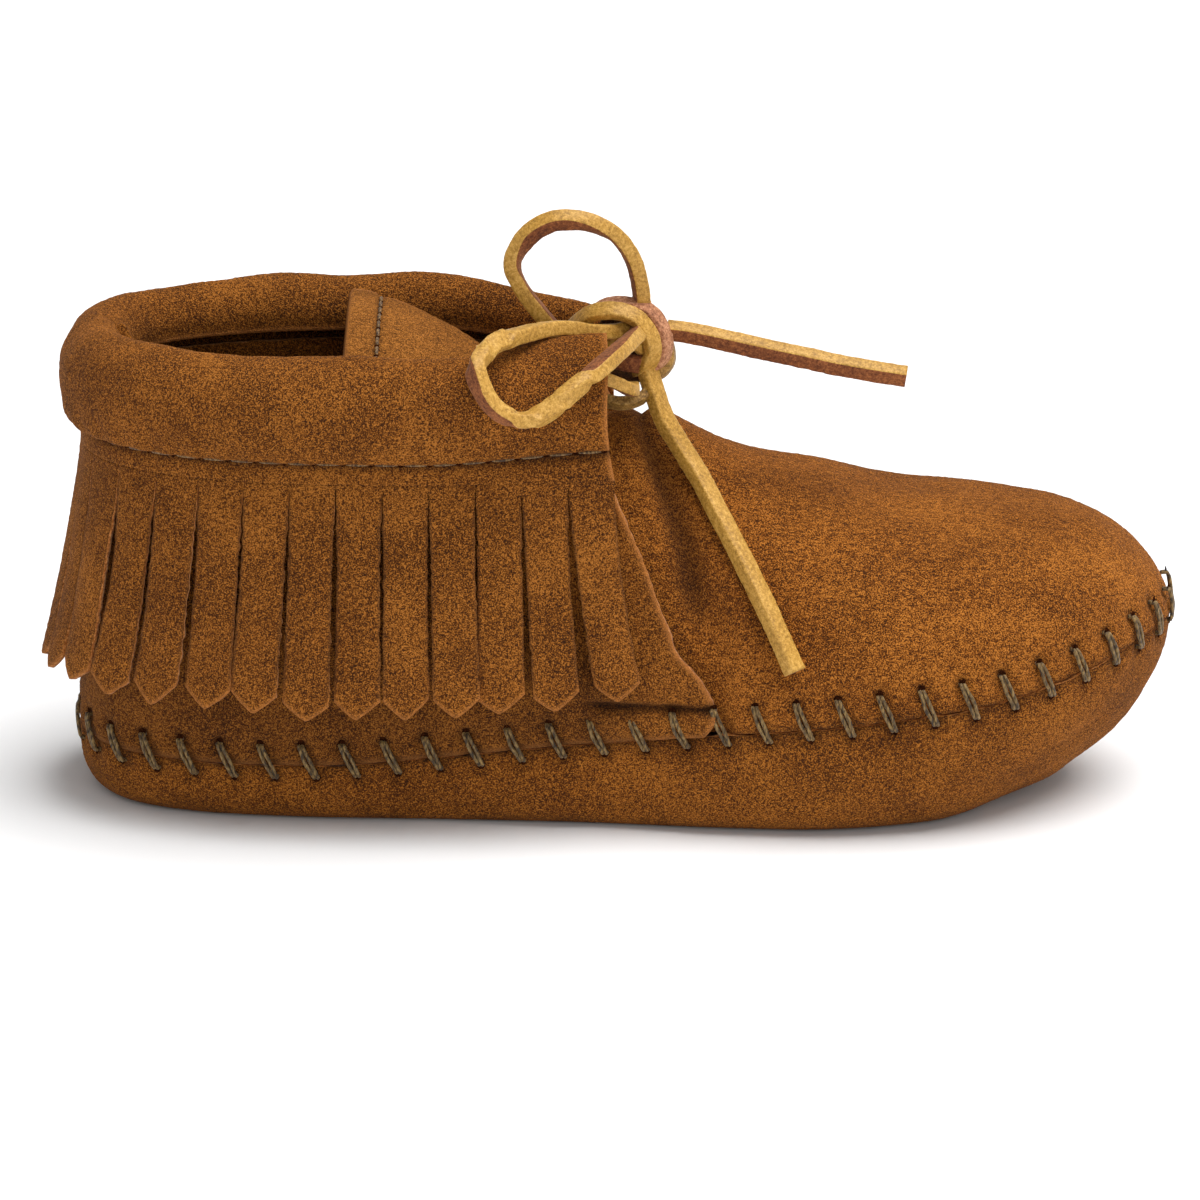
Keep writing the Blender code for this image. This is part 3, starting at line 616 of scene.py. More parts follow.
def spine_anchors(points):
    """Nearest points of the centre line, which the sections of the sole turn toward."""
    x = np.clip(points[:, 0], *SPINE_ENDS)
    return np.column_stack([x, 0.5 * (seam_width(x, -1) + seam_width(x, 1)), np.zeros(len(x))])


def seam_to_spine(count):
    """Points on the seam, their anchors on the centre line and the unit ways between them."""
    edge = seam_points(np.linspace(0, 1, count))
    anchors = spine_anchors(edge)
    inward = (anchors - edge) * [1, 1, 0]
    return edge, anchors, unit(inward)


def make_sole(skin, rim):
    edge, anchors, inward = seam_to_spine(187)
    inset = table_value(SOLE_INSET, edge[:, 0])
    fullness = table_value(SOLE_FULLNESS, edge[:, 0])
    height = edge[:, 2] - GAP / 2
    layers = []
    for angle in np.linspace(math.pi / 2, 0, 19):
        out = inset * max(math.sin(angle), 0.0) ** fullness
        layer = edge + inward * (inset - out)[:, None]
        layer[:, 2] = height * (1 - max(math.cos(angle), 0.0) ** fullness)
        layers.append(layer)
    flat_edge = layers[-1]
    for share in (0.12, 0.3, 0.5, 0.7, 0.85, 1.0):
        layers.append(flat_edge + (anchors - flat_edge) * share)
    grid = refine(np.array(layers).swapaxes(0, 1), 610, 78)
    normals, turned = facing(grid)
    shallow = ease(grid[..., 2] / 6.0)
    wave = rough(grid, 19.0) * 0.9 + rough(grid, 7.0, 4.0) * 0.35
    grid = moved(grid, normals, wave * shallow)
    grid, dent = pulled(grid, normals)
    grid = moved(grid, normals, nap(grid, 9.0) * shallow)
    grid[..., 2] = np.maximum(grid[..., 2], 0.0)
    grid[-1] = grid[0]
    seam = groove(np.arange(grid.shape[1]), 1.5)[None, :]
    grid = moved(grid, normals, -SEAM_SINK * seam)
    # darker towards the bottom of the sole, in patches
    low_darkening = ease(1 - grid[..., 2] / 3.0) * (0.35 + 0.3 * rough(grid, 11.0, 2.0))
    # painted shade in the stitch dents and the seam's groove, added to that darkening
    shade = np.clip(dent * DENT_SHADE + low_darkening + SEAM_SINK * seam, 0, 1)
    item = suede_skin("sole_skin", grid, [skin, rim], SOLE_THICKNESS, turned, np.zeros_like(shade), shade)
    merged = bmesh.new()
    merged.from_mesh(item.data)
    bmesh.ops.remove_doubles(merged, verts=merged.verts, dist=0.15 * MM)
    merged.to_mesh(item.data)
    merged.free()
    return ride(item, SHOE, "soft_sole")


# The footbed's section, bottom to top: share of the way in to the centre line, and height.
FOOTBED_SECTION = [(0.5, 0.0), (0.05, 0.0), (0.0, 0.8), (0.0, 2.2), (0.03, 3.1), (0.1, 3.5), (0.3, 3.4),
                   (0.6, 3.2), (1.0, 3.1)]


def make_footbed(cloth):
    """Insole that follows the sole's flat, crowned and rounded at its edge."""
    edge, anchors, inward = seam_to_spine(240)
    rim = edge + inward * (table_value(SOLE_INSET, edge[:, 0]) + SOLE_THICKNESS + GAP)[:, None]
    bottom = SOLE_THICKNESS + GAP
    rows = []
    for share, height in FOOTBED_SECTION:
        row = rim + (anchors - rim) * share
        row[:, 2] = bottom + height
        rows.append(row)
    grid = refine(np.array(rows), 60, 240)
    grid[..., 2] += rough(grid, 15.0) * 0.12
    item = grid_object("insole", grid, [cloth])
    return ride(item, SHOE, "footbed")


# ---- vamp

CREASE = [(50, 19.5), (66, 16.8), (77, 13.2), (91, 7.5)]       # the crease ahead of the quarter, X by height


def vamp_sections(stations=46, columns=61):
    rows = []
    for i in range(stations + 1):
        x = VAMP_BACK + (VAMP_TIP - VAMP_BACK) * math.sin(math.pi / 2 * i / stations) ** 0.9
        lap = (UPPER_THICKNESS + 2 * GAP) * ease((LAP_FRONT - x) / 7)
        base = table_value(SEAM_HEIGHT, x) + GAP
        fullness = 1 + (VAMP_FULLNESS - 1) * ease((x - LAP_FRONT + 6) / 30)
        rise = max(table_value(RIDGE_HEIGHT, x) - base, 0.0)
        half = [max(abs(seam_width(x, side)) - lap, 0.0) for side in (-1, 1)]
        middle = 0.5 * (seam_width(x, -1) + seam_width(x, 1))
        if i == stations:
            rise = 0.0
            half = [-middle, middle]
        angles = np.linspace(0, math.pi, columns)
        across = np.abs(np.cos(angles)) ** fullness
        up = np.maximum(np.sin(angles), 0.0) ** fullness
        y = np.where(angles < math.pi / 2, middle - (half[0] + middle) * across,
                     middle + (half[1] - middle) * across)
        rows.append(np.column_stack([np.full(columns, x), y, base + rise * up]))
    return np.array(rows)


def make_vamp(skin, rim):
    grid = refine(vamp_sections(), 210, 190)
    grid[..., 2] += 6.0 * hump(grid[..., 0], 9.0, 7.5) * hump(grid[..., 1], -3.0, 15.0)
    normals, turned = facing(grid)
    x, y, z = grid[..., 0], grid[..., 1], grid[..., 2]
    ahead = x - table_value(CREASE, z)
    high = ease((z - 44) / 14)
    crease = -3.0 * hump(ahead, 0.0, 3.0) + 1.2 * hump(ahead, 7.5, 5.0)
    folds = 0.55 * hump(ahead + 0.35 * (z - 60), 22.0, 4.0) * high
    wave = rough(grid, 24.0, 3.0) * 0.8 + rough(grid, 9.0, 7.0) * 0.25
    toe = ease((VAMP_TIP - x) / 14)
    grid = moved(grid, normals, (crease * high + folds + wave) * toe)
    columns = np.arange(grid.shape[1])
    grid, dark = sewn(grid, normals, 1.0, groove(np.minimum(columns, columns[::-1]), 1.3)[None, :])
    # painted shade in the stitch dents, the seam's groove and the crease along the quarter's front edge,
    # where the quarter shadows the vamp
    shade = np.clip(dark + 0.7 * hump(ahead, -0.5, 3.0) * high, 0, 1)
    item = suede_skin("vamp_skin", grid, [skin, rim], UPPER_THICKNESS, turned, np.zeros_like(shade), shade)
    return ride(item, SHOE, "vamp")


# ---- quarter, cuff and fringe band

def wall_outline(z, past=0.0):
    """The quarter's outer surface at height z, in plan, from its lateral to its medial front edge."""
    front = table_value(FRONT_EDGE, z) + past
    halves = []
    samples = np.linspace(0, 1, 160)
    low = table_value(SEAM_HEIGHT, -60)
    blend = ease((z - low) / (COLLAR_LEVEL - low))
    for side in (-1, 1):
        seam = seam_half(side)
        seam = resample(seam[seam[:, 0] < WALL_REACH], samples)
        collar = resample(LATERAL_COLLAR, samples) * np.array([1, -side])
        half = seam + (collar - seam) * blend
        keep = half[half[:, 0] <= front]
        after = half[len(keep)] if len(keep) < len(half) else half[-1]
        before = keep[-1]
        share = (front - before[0]) / max(after[0] - before[0], 0.001)
        halves.append(np.vstack([keep, before + (after - before) * min(share, 1.0)]))
    return np.vstack([halves[0][::-1], halves[1][1:]])


def lean(points):
    """Lean the collar's fronts in over the instep, raise the lateral front and lower the medial one."""
    result = np.array(points, float)
    forward = ease((result[..., 0] - LEAN_BACK) / (LEAN_FRONT - LEAN_BACK))
    above = np.maximum(result[..., 2] - LEAN_LEVEL, 0.0)
    share = above / (CUFF_TOP - LEAN_LEVEL)
    lateral = result[..., 1] < 0
    rise = FRONT_RISE[0] * ease(above / RISE_SPAN)
    result[..., 2] += forward * np.where(lateral, rise, FRONT_RISE[1] * share)
    result[..., 1] -= np.where(lateral, -1.0, 1.0) * LEAN * forward * share
    return result


def flat_wall(fractions, z, outward, past=0.0):
    """Points round the wall at height z before it leans, outward from the quarter's outer surface."""
    outline = wall_outline(z, past)
    fractions = np.asarray(fractions, float)
    points = resample(outline, fractions)
    along = (resample(outline, np.clip(fractions + 0.004, 0, 1))
             - resample(outline, np.clip(fractions - 0.004, 0, 1)))
    along = unit(along)
    normal = np.stack([-along[:, 1], along[:, 0]], axis=1)
    flat = points + normal * outward
    return np.column_stack([flat, np.full(len(flat), float(z))])


def collar_points(fractions, z, outward):
    """Points round the collar, whose front edges stand at one X."""
    past = table_value(COLLAR_FRONT, z) - table_value(FRONT_EDGE, z)
    return lean(flat_wall(fractions, z, outward, past))


TAB_FOLD = 30.6                 # height of the fold in the quarter's lower front corner


def make_quarter(skin, rim):
    stations = np.linspace(0, 1, 121)
    levels = np.linspace(12, WALL_TOP, 60)
    table = np.array([flat_wall(stations, z, 0.0) for z in levels])
    shares = np.linspace(0, 1, 26)[:, None]
    z = 16.0 + (WALL_TOP - 16.0) * shares * np.ones(len(stations))
    for _ in range(6):
        columns = [np.column_stack([np.interp(z[:, k], levels, table[:, k, axis]) for axis in (0, 1)])
                   for k in range(len(stations))]
        flat = np.array(columns).swapaxes(0, 1)
        low = table_value(SEAM_HEIGHT, flat[..., 0]) + GAP / 2
        z = low + (WALL_TOP - low) * shares
    grid = lean(np.concatenate([flat, z[..., None]], axis=2))
    rows, columns = 110, 400
    grid = refine(grid, rows, columns)
    normals, turned = facing(grid)
    x, y, z = grid[..., 0], grid[..., 1], grid[..., 2]
    front = table_value(FRONT_EDGE, z) - x
    corner = ease((x + 8) / 8) * ease((60 - z) / 8) * (y < 0)
    fold = (-1.6 * hump(z, TAB_FOLD, 1.1) + 1.2 * hump(z, 26.0, 3.6) + 1.2 * hump(z, 36, 3.5)) * corner
    fold += 1.5 * hump(z, 29, 4.5) * hump(front, 1.5, 4.0) * (y < 0)
    grid[..., 0] -= 3.0 * ease((29 - z) / 6) * ease(1 - front / 16) * (y < 0)
    wave = rough(grid, 20.0, 5.0) * 0.7 + rough(grid, 8.0, 8.0) * 0.25
    lip = 0.9 * hump(front, 0.0, 2.0) * ease((z - 34) / 8) * ease((86 - z) / 6)
    grid = moved(grid, normals, fold + wave * ease(front / 6 + 0.3) + lip)
    grid, dark = sewn(grid, normals, 2.0, groove(np.arange(rows), 1.5)[:, None])
    edges = edge_share(rows, columns, 0.7, 0.75, 0.9, ("top", "left", "right")) * 0.9
    # painted shadow under the fringe, low on the sides behind it
    fringe_shadow = 0.3 * ease((46 - z) / 12) * ease((12 - x) / 12)
    # painted shade in the fold of the lower front tab
    creased = 0.95 * hump(z, TAB_FOLD, 0.9) * corner
    shade = np.clip(dark + creased + fringe_shadow, 0, 1)
    item = suede_skin("quarter_skin", grid, [skin, rim], UPPER_THICKNESS, turned, edges, shade)
    return ride(item, SHOE, "quarter")


def cuff_profile():
    """Outer face of the rolled cuff's section as (outward, height), bottom edge to inner edge."""
    bottom = BAND_BACK + FRINGE_THICKNESS + GAP + CUFF_THICKNESS
    return [(bottom - 1.3, CUFF_BOTTOM), (bottom + 0.7, CUFF_BOTTOM + 0.9), (bottom + 1.9, 92),
            (bottom + 2.5, 97.5), (bottom + 1.7, 103), (bottom - 1.2, 108), (-2.0, CUFF_TOP), (-6.2, 108.6),
            (-8.6, 104), (-8.4, 99)]


def make_cuff(skin, rim):
    rows, columns = 72, 380
    profile = spline(cuff_profile(), steps=10)
    profile = resample(profile, np.linspace(0, 1, rows))
    stations = np.linspace(0, 1, columns)
    grid = np.array([collar_points(stations, z, out) for out, z in profile])
    normals, turned = facing(grid)
    pitch = np.sin(np.linspace(0, math.pi * 2 * COLLAR_STITCHES, columns))[None, :]
    gathered = 0.22 * pitch * hump(np.linspace(0, 1, rows), 0.08, 0.07)[:, None]
    wave = rough(grid, 22.0, 6.0) * 1.0 + rough(grid, 8.0, 3.0) * 0.3
    grid = moved(grid, normals, wave * ease(np.linspace(0, 8, rows))[:, None] + gathered)
    grid = moved(grid, normals, nap(grid, 5.0))
    edges = edge_share(rows, columns, 0.6, 0.75, 0.8, ("left", "right", "bottom"))
    # painted shade along the cuff's bottom edge, where it is sewn over the band
    shade = np.clip(1 - np.arange(rows) / 5.0, 0, 1)[:, None] ** 2 * 0.5 * np.ones((1, columns))
    item = suede_skin("cuff_roll", grid, [skin, rim], CUFF_THICKNESS, turned, edges, shade)
    return ride(item, SHOE, "collar_cuff")


COLLAR_STITCHES = 43


def make_band(skin):
    rows = 16
    heights = np.linspace(STRIP_TOP, BAND_TOP, rows)
    stations = np.linspace(0, 1, STRIP_COUNT * STRIP_COLUMNS + 1)
    grid = np.array([collar_points(stations, z, BAND_BACK + FRINGE_THICKNESS) for z in heights])
    normals, turned = facing(grid)
    sunk = 0.55 * hump(heights, CUFF_BOTTOM - GAP, 1.3)[:, None]
    free = ease(np.arange(rows) / 3.0)[:, None]
    grid = moved(grid, normals, nap(grid, 5.0, 0.1) * free - sunk)
    edges = edge_share(rows, len(stations), 0.65, 0.75, 0.8, ("left", "right"))
    # painted shade along the line under the cuff's bottom edge
    shade = hump(heights, CUFF_BOTTOM - GAP, 1.0)[:, None] * 0.95 * np.ones((1, len(stations)))
    item = suede_skin("band_skin", grid, [skin], FRINGE_THICKNESS, turned, edges, shade)
    return ride(item, SHOE, "fringe_band")


# ---- fringe strips

STRIP_COLUMNS = 14
STRIP_ROWS = 74


def strip_fall(fractions, heights):
    """The fringe's outer surface, fractions across by heights down, before each strip's own bends."""
    top = collar_points(fractions, STRIP_TOP, BAND_BACK + FRINGE_THICKNESS)
    line = collar_points(np.clip(fractions + 0.004, 0, 1), STRIP_TOP, 0.0)
    along = line - collar_points(np.clip(fractions - 0.004, 0, 1), STRIP_TOP, 0.0)
    normal = np.column_stack([-along[:, 1], along[:, 0]])
    normal = unit(normal)
    drop = (STRIP_TOP - heights) / FRINGE_LENGTH
    widen = 1 + FRINGE_FAN * drop**1.3
    flare = STRIP_FLARE * drop**1.2
    x = FRINGE_CENTRE + (top[:, 0] - FRINGE_CENTRE) * widen + normal[:, 0] * flare
    y = top[:, 1] * widen + normal[:, 1] * flare
    return np.stack([x, y, heights + top[:, 2] - STRIP_TOP], axis=2), normal


def make_strip(number, skin, rim):
    """One strip: slit from its neighbours below the band, cut to a point, with its own lazy bends."""
    rng = np.random.default_rng(100 + number)
    slit = [3.2 * np.random.default_rng(300 + k).uniform() for k in (number, number + 1)]
    gap = rng.uniform(0.12, 0.4, 2)
    if number in (10, 11):
        gap += 0.5
    pull = {0: -2.9, 1: -1.2}.get(number, 0.0)
    sway, curl, bow, twist, waver = rng.uniform(-1, 1, 5)
    across = np.linspace(-1, 1, STRIP_COLUMNS + 1)[None, :]
    down = np.linspace(0, 1, STRIP_ROWS)[:, None]
    middle = (number + 0.5) / STRIP_COUNT
    half = 0.5 / STRIP_COUNT
    tip_x = collar_points([middle], STRIP_TOP, 0.0)[0][0]
    lowest = table_value(STRIP_TIP, tip_x) + rng.uniform(-0.8, 0.8)
    point = 0.12 * rng.uniform(-1, 1)
    chevron = np.abs(across - point) ** 1.25 / (1 + abs(point)) * (STRIP_POINT + rng.uniform(-0.6, 0.6))
    chevron = np.minimum(chevron, STRIP_POINT + 0.5)
    length = STRIP_TOP - lowest
    heights = STRIP_TOP - (length - chevron) * down
    fractions = middle + half * across[0]
    grid, normal = strip_fall(fractions, heights)
    centre = grid.mean(axis=1, keepdims=True)
    fallen = length * down
    open_left = ease((fallen - slit[0]) / 22) * gap[0]
    open_right = ease((fallen - slit[1]) / 22) * gap[1]
    narrow = np.where(across < 0, open_left * np.abs(across), open_right * np.abs(across))
    cut = 0.12 * ease((fallen - np.where(across < 0, slit[0], slit[1])) / 1.2) * np.abs(across)
    toward = centre - grid
    toward /= np.maximum(np.linalg.norm(toward, axis=2, keepdims=True), 0.3)
    grid = grid + toward * (narrow + cut)[..., None]
    outward = np.column_stack([normal, np.zeros(len(normal))])[None]
    along = np.cross(outward, [0, 0, 1.0])
    free = ease(down / 0.35)
    rolled = -0.4 * np.abs(across) ** 2.4 * ease((fallen - 4) / 10)
    lift = 0.5 * bow * np.sin(down * math.pi) + 0.8 * np.maximum(curl, -0.3) * down**3
    lift = lift + 0.5 * twist * across * down**1.5 + 0.35 * waver * np.sin(down * 7 + number)
    grid = grid + outward * ((rolled + lift) * free + 0.25 * free)[..., None]
    grid = grid + along * ((0.9 * sway + pull) * down**1.7 * free)[..., None]
    ragged = 0.32 * rough(grid, 1.5, 8.0) * across**6 * ease((fallen - 4) / 4)
    grid = grid + along * ragged[..., None]
    normals, turned = facing(grid)
    grid = moved(grid, normals, nap(grid, 5.0, 0.14) * ease(fallen / 2))
    side = (1 - np.abs(across)) * 5.2
    tip = length * (1 - down) * np.ones_like(across)
    edges = 0.3 * np.exp(-(side / 0.5) ** 2) * ease((fallen - 5) / 4) + 0.9 * np.exp(-(tip / 0.7) ** 2)
    # painted shade down both sides of the strip, in the slits between strips
    shade = 0.6 * ease((fallen - 2.5) / 5) * np.exp(-(side / 0.45) ** 2) * ease((tip - 3) / 3)
    item = suede_skin(f"fringe_tail_{number + 1:02d}", grid, [skin, rim], FRINGE_THICKNESS - 0.2, turned,
                      np.clip(edges, 0, 1), shade)
    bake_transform(item)
    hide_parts(f"fringe_strip_{number + 1:02d}")
    return item


# ---- tongue

def tongue_grid(shares, across, above=0.0):
    """Points over the tongue: share 0 at its sewn base to 1 at its free end, across -1 to 1."""
    share, across = np.meshgrid(shares, across, indexing="ij")
    x = TONGUE_BASE + (TONGUE_END - TONGUE_BASE) * share
    half = TONGUE_HALF_WIDTHS[0] + (TONGUE_HALF_WIDTHS[1] - TONGUE_HALF_WIDTHS[0]) * ease(share)
    arch = TONGUE_ARCH[0] + (TONGUE_ARCH[1] - TONGUE_ARCH[0]) * share
    base = table_value(RIDGE_HEIGHT, VAMP_BACK)
    centre = base + (TONGUE_END_HEIGHT - base) * np.sin(math.pi / 2 * share) ** 1.15
    tilt = TONGUE_TILT * across * ease(2 * share)
    return np.stack([x, half * across, centre - arch * across**2 + tilt + above], axis=2)


HEM_SHARE = 1 - TONGUE_HEM / (TONGUE_BASE - TONGUE_END) + 0.03


def make_tongue(skin, rim):
    """Tongue turned under at its free end, its hem standing a little proud and pulled in by its stitches."""
    rows, columns = 90, 84
    shares = np.linspace(0, 1, rows)
    grid = tongue_grid(shares, np.linspace(-1, 1, columns))
    normals, turned = facing(grid)
    hem = 0.5 * ease((shares - HEM_SHARE) / 0.03) - 0.5 * hump(shares, HEM_SHARE, 0.022)
    rounded = -1.6 * ease((shares - 0.975) / 0.025) ** 2
    wave = rough(grid, 15.0, 4.0) * 0.6
    grid = moved(grid, normals, (hem + rounded + (wave * ease(shares * 6)[:, None]).T).T)
    grid = moved(grid, normals, nap(grid, 5.0, 0.14))
    edges = edge_share(rows, columns, 0.57, 0.6, 0.8, ("bottom", "left", "right")) * 0.8
    # painted shade along the hem's fold
    shade = (0.45 * hump(shares, HEM_SHARE, 0.02))[:, None] * np.ones((1, columns))
    item = suede_skin("tongue_skin", grid, [skin, rim], UPPER_THICKNESS, turned, edges, shade)
    return ride(item, TONGUE, "tongue")


# ---- threads

def sewn_line(name, line, outward, pitch, size, lift, body, materials, node):
    """Machine stitches along a line: sunk segments of thread between pierced holes."""
    total = curve_lengths(line)[-1]
    count = max(int(round(total / pitch)), 2)
    runs = []
    holes = []
    for i in range(count):
        shares = np.linspace((i + 0.14) / count, (i + 0.86) / count, 9)
        points = resample(line, shares)
        ways = resample(outward, shares)
        arch = np.sin(np.linspace(0, math.pi, 9)) ** 0.6
        runs.append(points + ways * (arch * lift - 0.35)[:, None])
        holes.append((resample(line, [i / count])[0], resample(outward, [i / count])[0]))
    stitches = joined_tubes(name, runs, size, 8, [materials[0]])
    ride(stitches, body, node)
    # dark discs at the holes: painted shade
    pits = hole_discs(name + "_holes", holes, 0.62, materials[1])
    ride(pits, body)
    return stitches


def hole_discs(name, holes, radius, material):
    """Shallow dimples, each a small ragged dish on the surface, dark with the painted shade of a hole."""
    vertices = []
    faces = []
    rng = np.random.default_rng(7)
    for centre, outward in holes:
        outward = np.asarray(outward) / np.linalg.norm(outward)
        helper = np.array([0.0, 0.0, 1.0]) if abs(outward[2]) < 0.9 else np.array([1.0, 0.0, 0.0])
        across, upward = square_to(outward, helper)
        start = len(vertices)
        vertices.append(centre - outward * 0.15)
        for ring in (0.6, 1.0):
            for k in range(10):
                angle = 2 * math.pi * k / 10
                reach = radius * ring * (1 + 0.22 * rng.uniform(-1, 1))
                vertices.append(centre + reach * (math.cos(angle) * across + math.sin(angle) * upward)
                                + outward * (0.1 if ring < 1 else -0.1))
        for k in range(10):
            after = (k + 1) % 10
            faces.append((start, start + 1 + k, start + 1 + after))
            faces.append((start + 1 + k, start + 11 + k, start + 11 + after, start + 1 + after))
    return link_mesh(name, vertices, faces, [material])


def make_whip_stitches(waxed, hole_shade):
    """Every whip stitch as two strands of waxed thread lying side by side across the seam."""
    upper, lower, outward = stitch_holes()
    rng = np.random.default_rng(21)
    runs = []
    holes = []
    for top, bottom, way in zip(upper, lower, outward):
        along = np.array([-way[1], way[0], 0.0])
        wobble = rng.uniform(-0.35, 0.35, 4)
        raised = 1.0 * hump(top[0], 9.0, 11.0) * (top[1] < 0)
        for side in (-1, 1):
            offset = along * side * (0.5 + 0.08 * wobble[0])
            bend = along * (wobble[1] * 0.5 + side * 0.12)
            route = [top - way * 1.6 + offset * 0.5, top - way * 0.1 + offset * 0.8,
                     top * 0.8 + bottom * 0.2 + way * (0.35 + raised + 0.15 * wobble[2]) + offset,
                     (top + bottom) / 2 + way * (0.5 + raised + 0.15 * wobble[3]) + offset * 1.1 + bend,
                     top * 0.2 + bottom * 0.8 + way * 0.3 + offset,
                     bottom - way * 0.1 + offset * 0.8, bottom - way * 1.6 + offset * 0.5]
            runs.append(resample(spline(route, steps=6), np.linspace(0, 1, 16)))
        holes.append((top + [0, 0, 0.55] - way * 0.35, way))
        holes.append((bottom - [0, 0, 0.25] - way * 0.35, way))
    stitches = joined_tubes("whip_stitches", runs, 0.43, 8, [waxed])
    ride(stitches, SHOE, "whip_thread")
    # dark discs at the holes: painted shade
    return ride(hole_discs("whip_stitch_holes", holes, 0.85, hole_shade), SHOE)


def make_collar_stitches(fine, hole_shade):
    height = CUFF_BOTTOM - GAP
    stations = np.linspace(0.004, 0.996, 240)
    line = collar_points(stations, height, BAND_BACK + FRINGE_THICKNESS - 0.15)
    out = collar_points(stations, height, BAND_BACK + FRINGE_THICKNESS + 1.0)
    return sewn_line("collar_stitches", line, out - line, 6.4, 0.32, 0.55, SHOE, (fine, hole_shade), "collar_thread")


def make_tongue_stitches(fine, hole_shade):
    across = np.linspace(-0.96, 0.96, 90)
    line = tongue_grid([HEM_SHARE], across)[0] - [0, 0, 0.25]
    out = np.tile([0.0, 0.0, 1.0], (len(line), 1))
    return sewn_line("tongue_stitches", line, out, 4.4, 0.36, 0.6, TONGUE, (fine, hole_shade), "tongue_thread")


# ---- lace

SECTION_SIDES = 24
FLESH_SHARE = -0.72             # faces of the section below this sine are the flesh side


def lace_mesh(name, route, outward, roll, materials, width=4.3, thick=3.4, step=0.8, blunt=0.32):
    """Squarish leather lace along a route: its flesh side faces away from outward, turned by roll degrees.

    outward gives a direction at a point, and roll is a table of (fraction, degrees).
    """
    smooth = spline(route, steps=24)
    count = int(curve_lengths(smooth)[-1] / step) + 2
    shares = np.linspace(0, 1, count)
    line = resample(smooth, shares)
    tangents = unit(np.gradient(line, axis=0))
    roll_at = np.radians(np.interp(shares, *np.array(roll, float).T))
    vertices = []
    angles = 2 * math.pi * np.arange(SECTION_SIDES) / SECTION_SIDES
    over = np.sign(np.cos(angles)) * np.abs(np.cos(angles)) ** blunt * width / 2
    up = np.sign(np.sin(angles)) * np.abs(np.sin(angles)) ** blunt * thick / 2
    for point, tangent, turn in zip(line, tangents, roll_at):
        away = np.asarray(outward(point), float)
        away = away - tangent * (away @ tangent)
        away /= np.linalg.norm(away)
        side = np.cross(tangent, away)
        turned = away * math.cos(turn) + side * math.sin(turn)
        side = np.cross(tangent, turned)
        vertices.append(point + over[:, None] * side + up[:, None] * turned)
    vertices = np.array(vertices)
    centre = vertices.mean(axis=1, keepdims=True)
    swell = 1 + 0.05 * rough(vertices, 7.0, 3.0) + 0.05 * rough(vertices, 1.1, 6.0)
    vertices = centre + (vertices - centre) * swell[..., None]
    flesh = np.sin(angles + math.pi / SECTION_SIDES) < FLESH_SHARE
    kinds = np.concatenate([np.tile(flesh, count - 1), [1, 1]])
    faces = tube_faces(0, count, SECTION_SIDES)
    return link_mesh(name, vertices.reshape(-1, 3), faces, materials, kinds), line


def make_cord(name, route, outward, roll, materials):
    """A free run of the lace along its own route."""
    item, line = lace_mesh("bow_" + name, route, outward, roll, materials)
    ride(item, SHOE, "lace_" + name)
    return item


def away_from(centre):
    """Direction away from a point, for a loop's outside."""
    return lambda point: np.asarray(point) - np.asarray(centre)


def facing_along(route, ways):
    """Direction at a point from the directions given at each point of a route."""
    route = np.array(route, float)
    ways = np.array(ways, float)

    def direction(point):
        weight = 1 / (((route - point) ** 2).sum(axis=1) + 1.0) ** 2
        return (ways * weight[:, None]).sum(axis=0)

    return direction


LOWER_LOOP_GRAIN = [(0, 0.2, 1), (0, 0.2, 1), (0, 0.3, 1), (0.1, 0.3, 1), (0.1, -0.9, 0.5), (0.8, 0.2, 0),
                    (0.75, 0.7, 0), (0.6, 0.65, 0.45), (0.4, 0.65, 0.65), (0, 0.1, 1), (-0.2, -0.8, 0.5),
                    (0.3, -0.8, -0.4), (0.5, 0.35, -0.8), (0.5, 0.45, -0.8), (0.5, 0.45, -0.8),
                    (0.5, 0.45, -0.8)]


def upward(point):
    return (0.0, 0.0, 1.0)


KNOT_CENTRE = (4.2, -7.5, 105.2)
KNOT_REACH = (8.4, 5.4, 8.6)
KNOT_TURN = 10.0
KNOT_TURNS = [
    ("rosy", [(-4.5, -6, 111.5), (-1.6, -9, 114.6), (1.4, -10, 115.8), (5.3, -11, 115.8), (8.6, -12, 115),
              (11, -12.5, 113), (12.7, -12.5, 109.6), (13.1, -12.5, 106.5), (12, -12, 102.9),
              (9, -10.5, 100.6)]),
    ("dull", [(12.5, -8, 108.5), (14, -9, 105), (13.8, -10, 102), (11.2, -11, 99.6), (8.5, -9, 99.5)]),
    ("flesh", [(-2, -11, 105), (1.5, -14, 104), (7.8, -13.7, 102.8), (10.5, -10, 102.8)]),
    ("dull", [(-3.5, -12, 95.4), (-0.3, -15, 94.8), (3.7, -16, 94.5), (7.5, -15, 95.3), (10, -12.5, 97.6)]),
    ("gold", [(-8.6, -9, 107.5), (-7.6, -12, 111), (-3.5, -14.5, 114.8), (1.4, -15.7, 115.8),
              (5.7, -15.9, 114.6), (8.3, -15.8, 112), (9.8, -15.5, 109), (10.1, -15, 106),
              (8.9, -14, 102.6), (7, -11, 100.5)]),
    ("gold", [(-6, -5, 110), (-2, -2.2, 112), (4, -1.2, 110.5), (9, -2.2, 106), (11, -5, 102)]),
    ("dull", [(-5, -5, 100), (0, -2.2, 101), (6, -1.2, 103.5), (10.5, -3, 107.5), (12, -7, 111)]),
    ("flesh", [(-7, -9, 104), (-4, -3.4, 105.5), (2, -1.6, 108), (6, -3.2, 112.5), (8, -7, 115.2)]),
    ("gold", [(-7.5, -11, 106.8), (-3, -13.5, 108.2), (2.5, -15, 109.2), (6.5, -15, 108.2), (8.5, -12, 106)]),
]


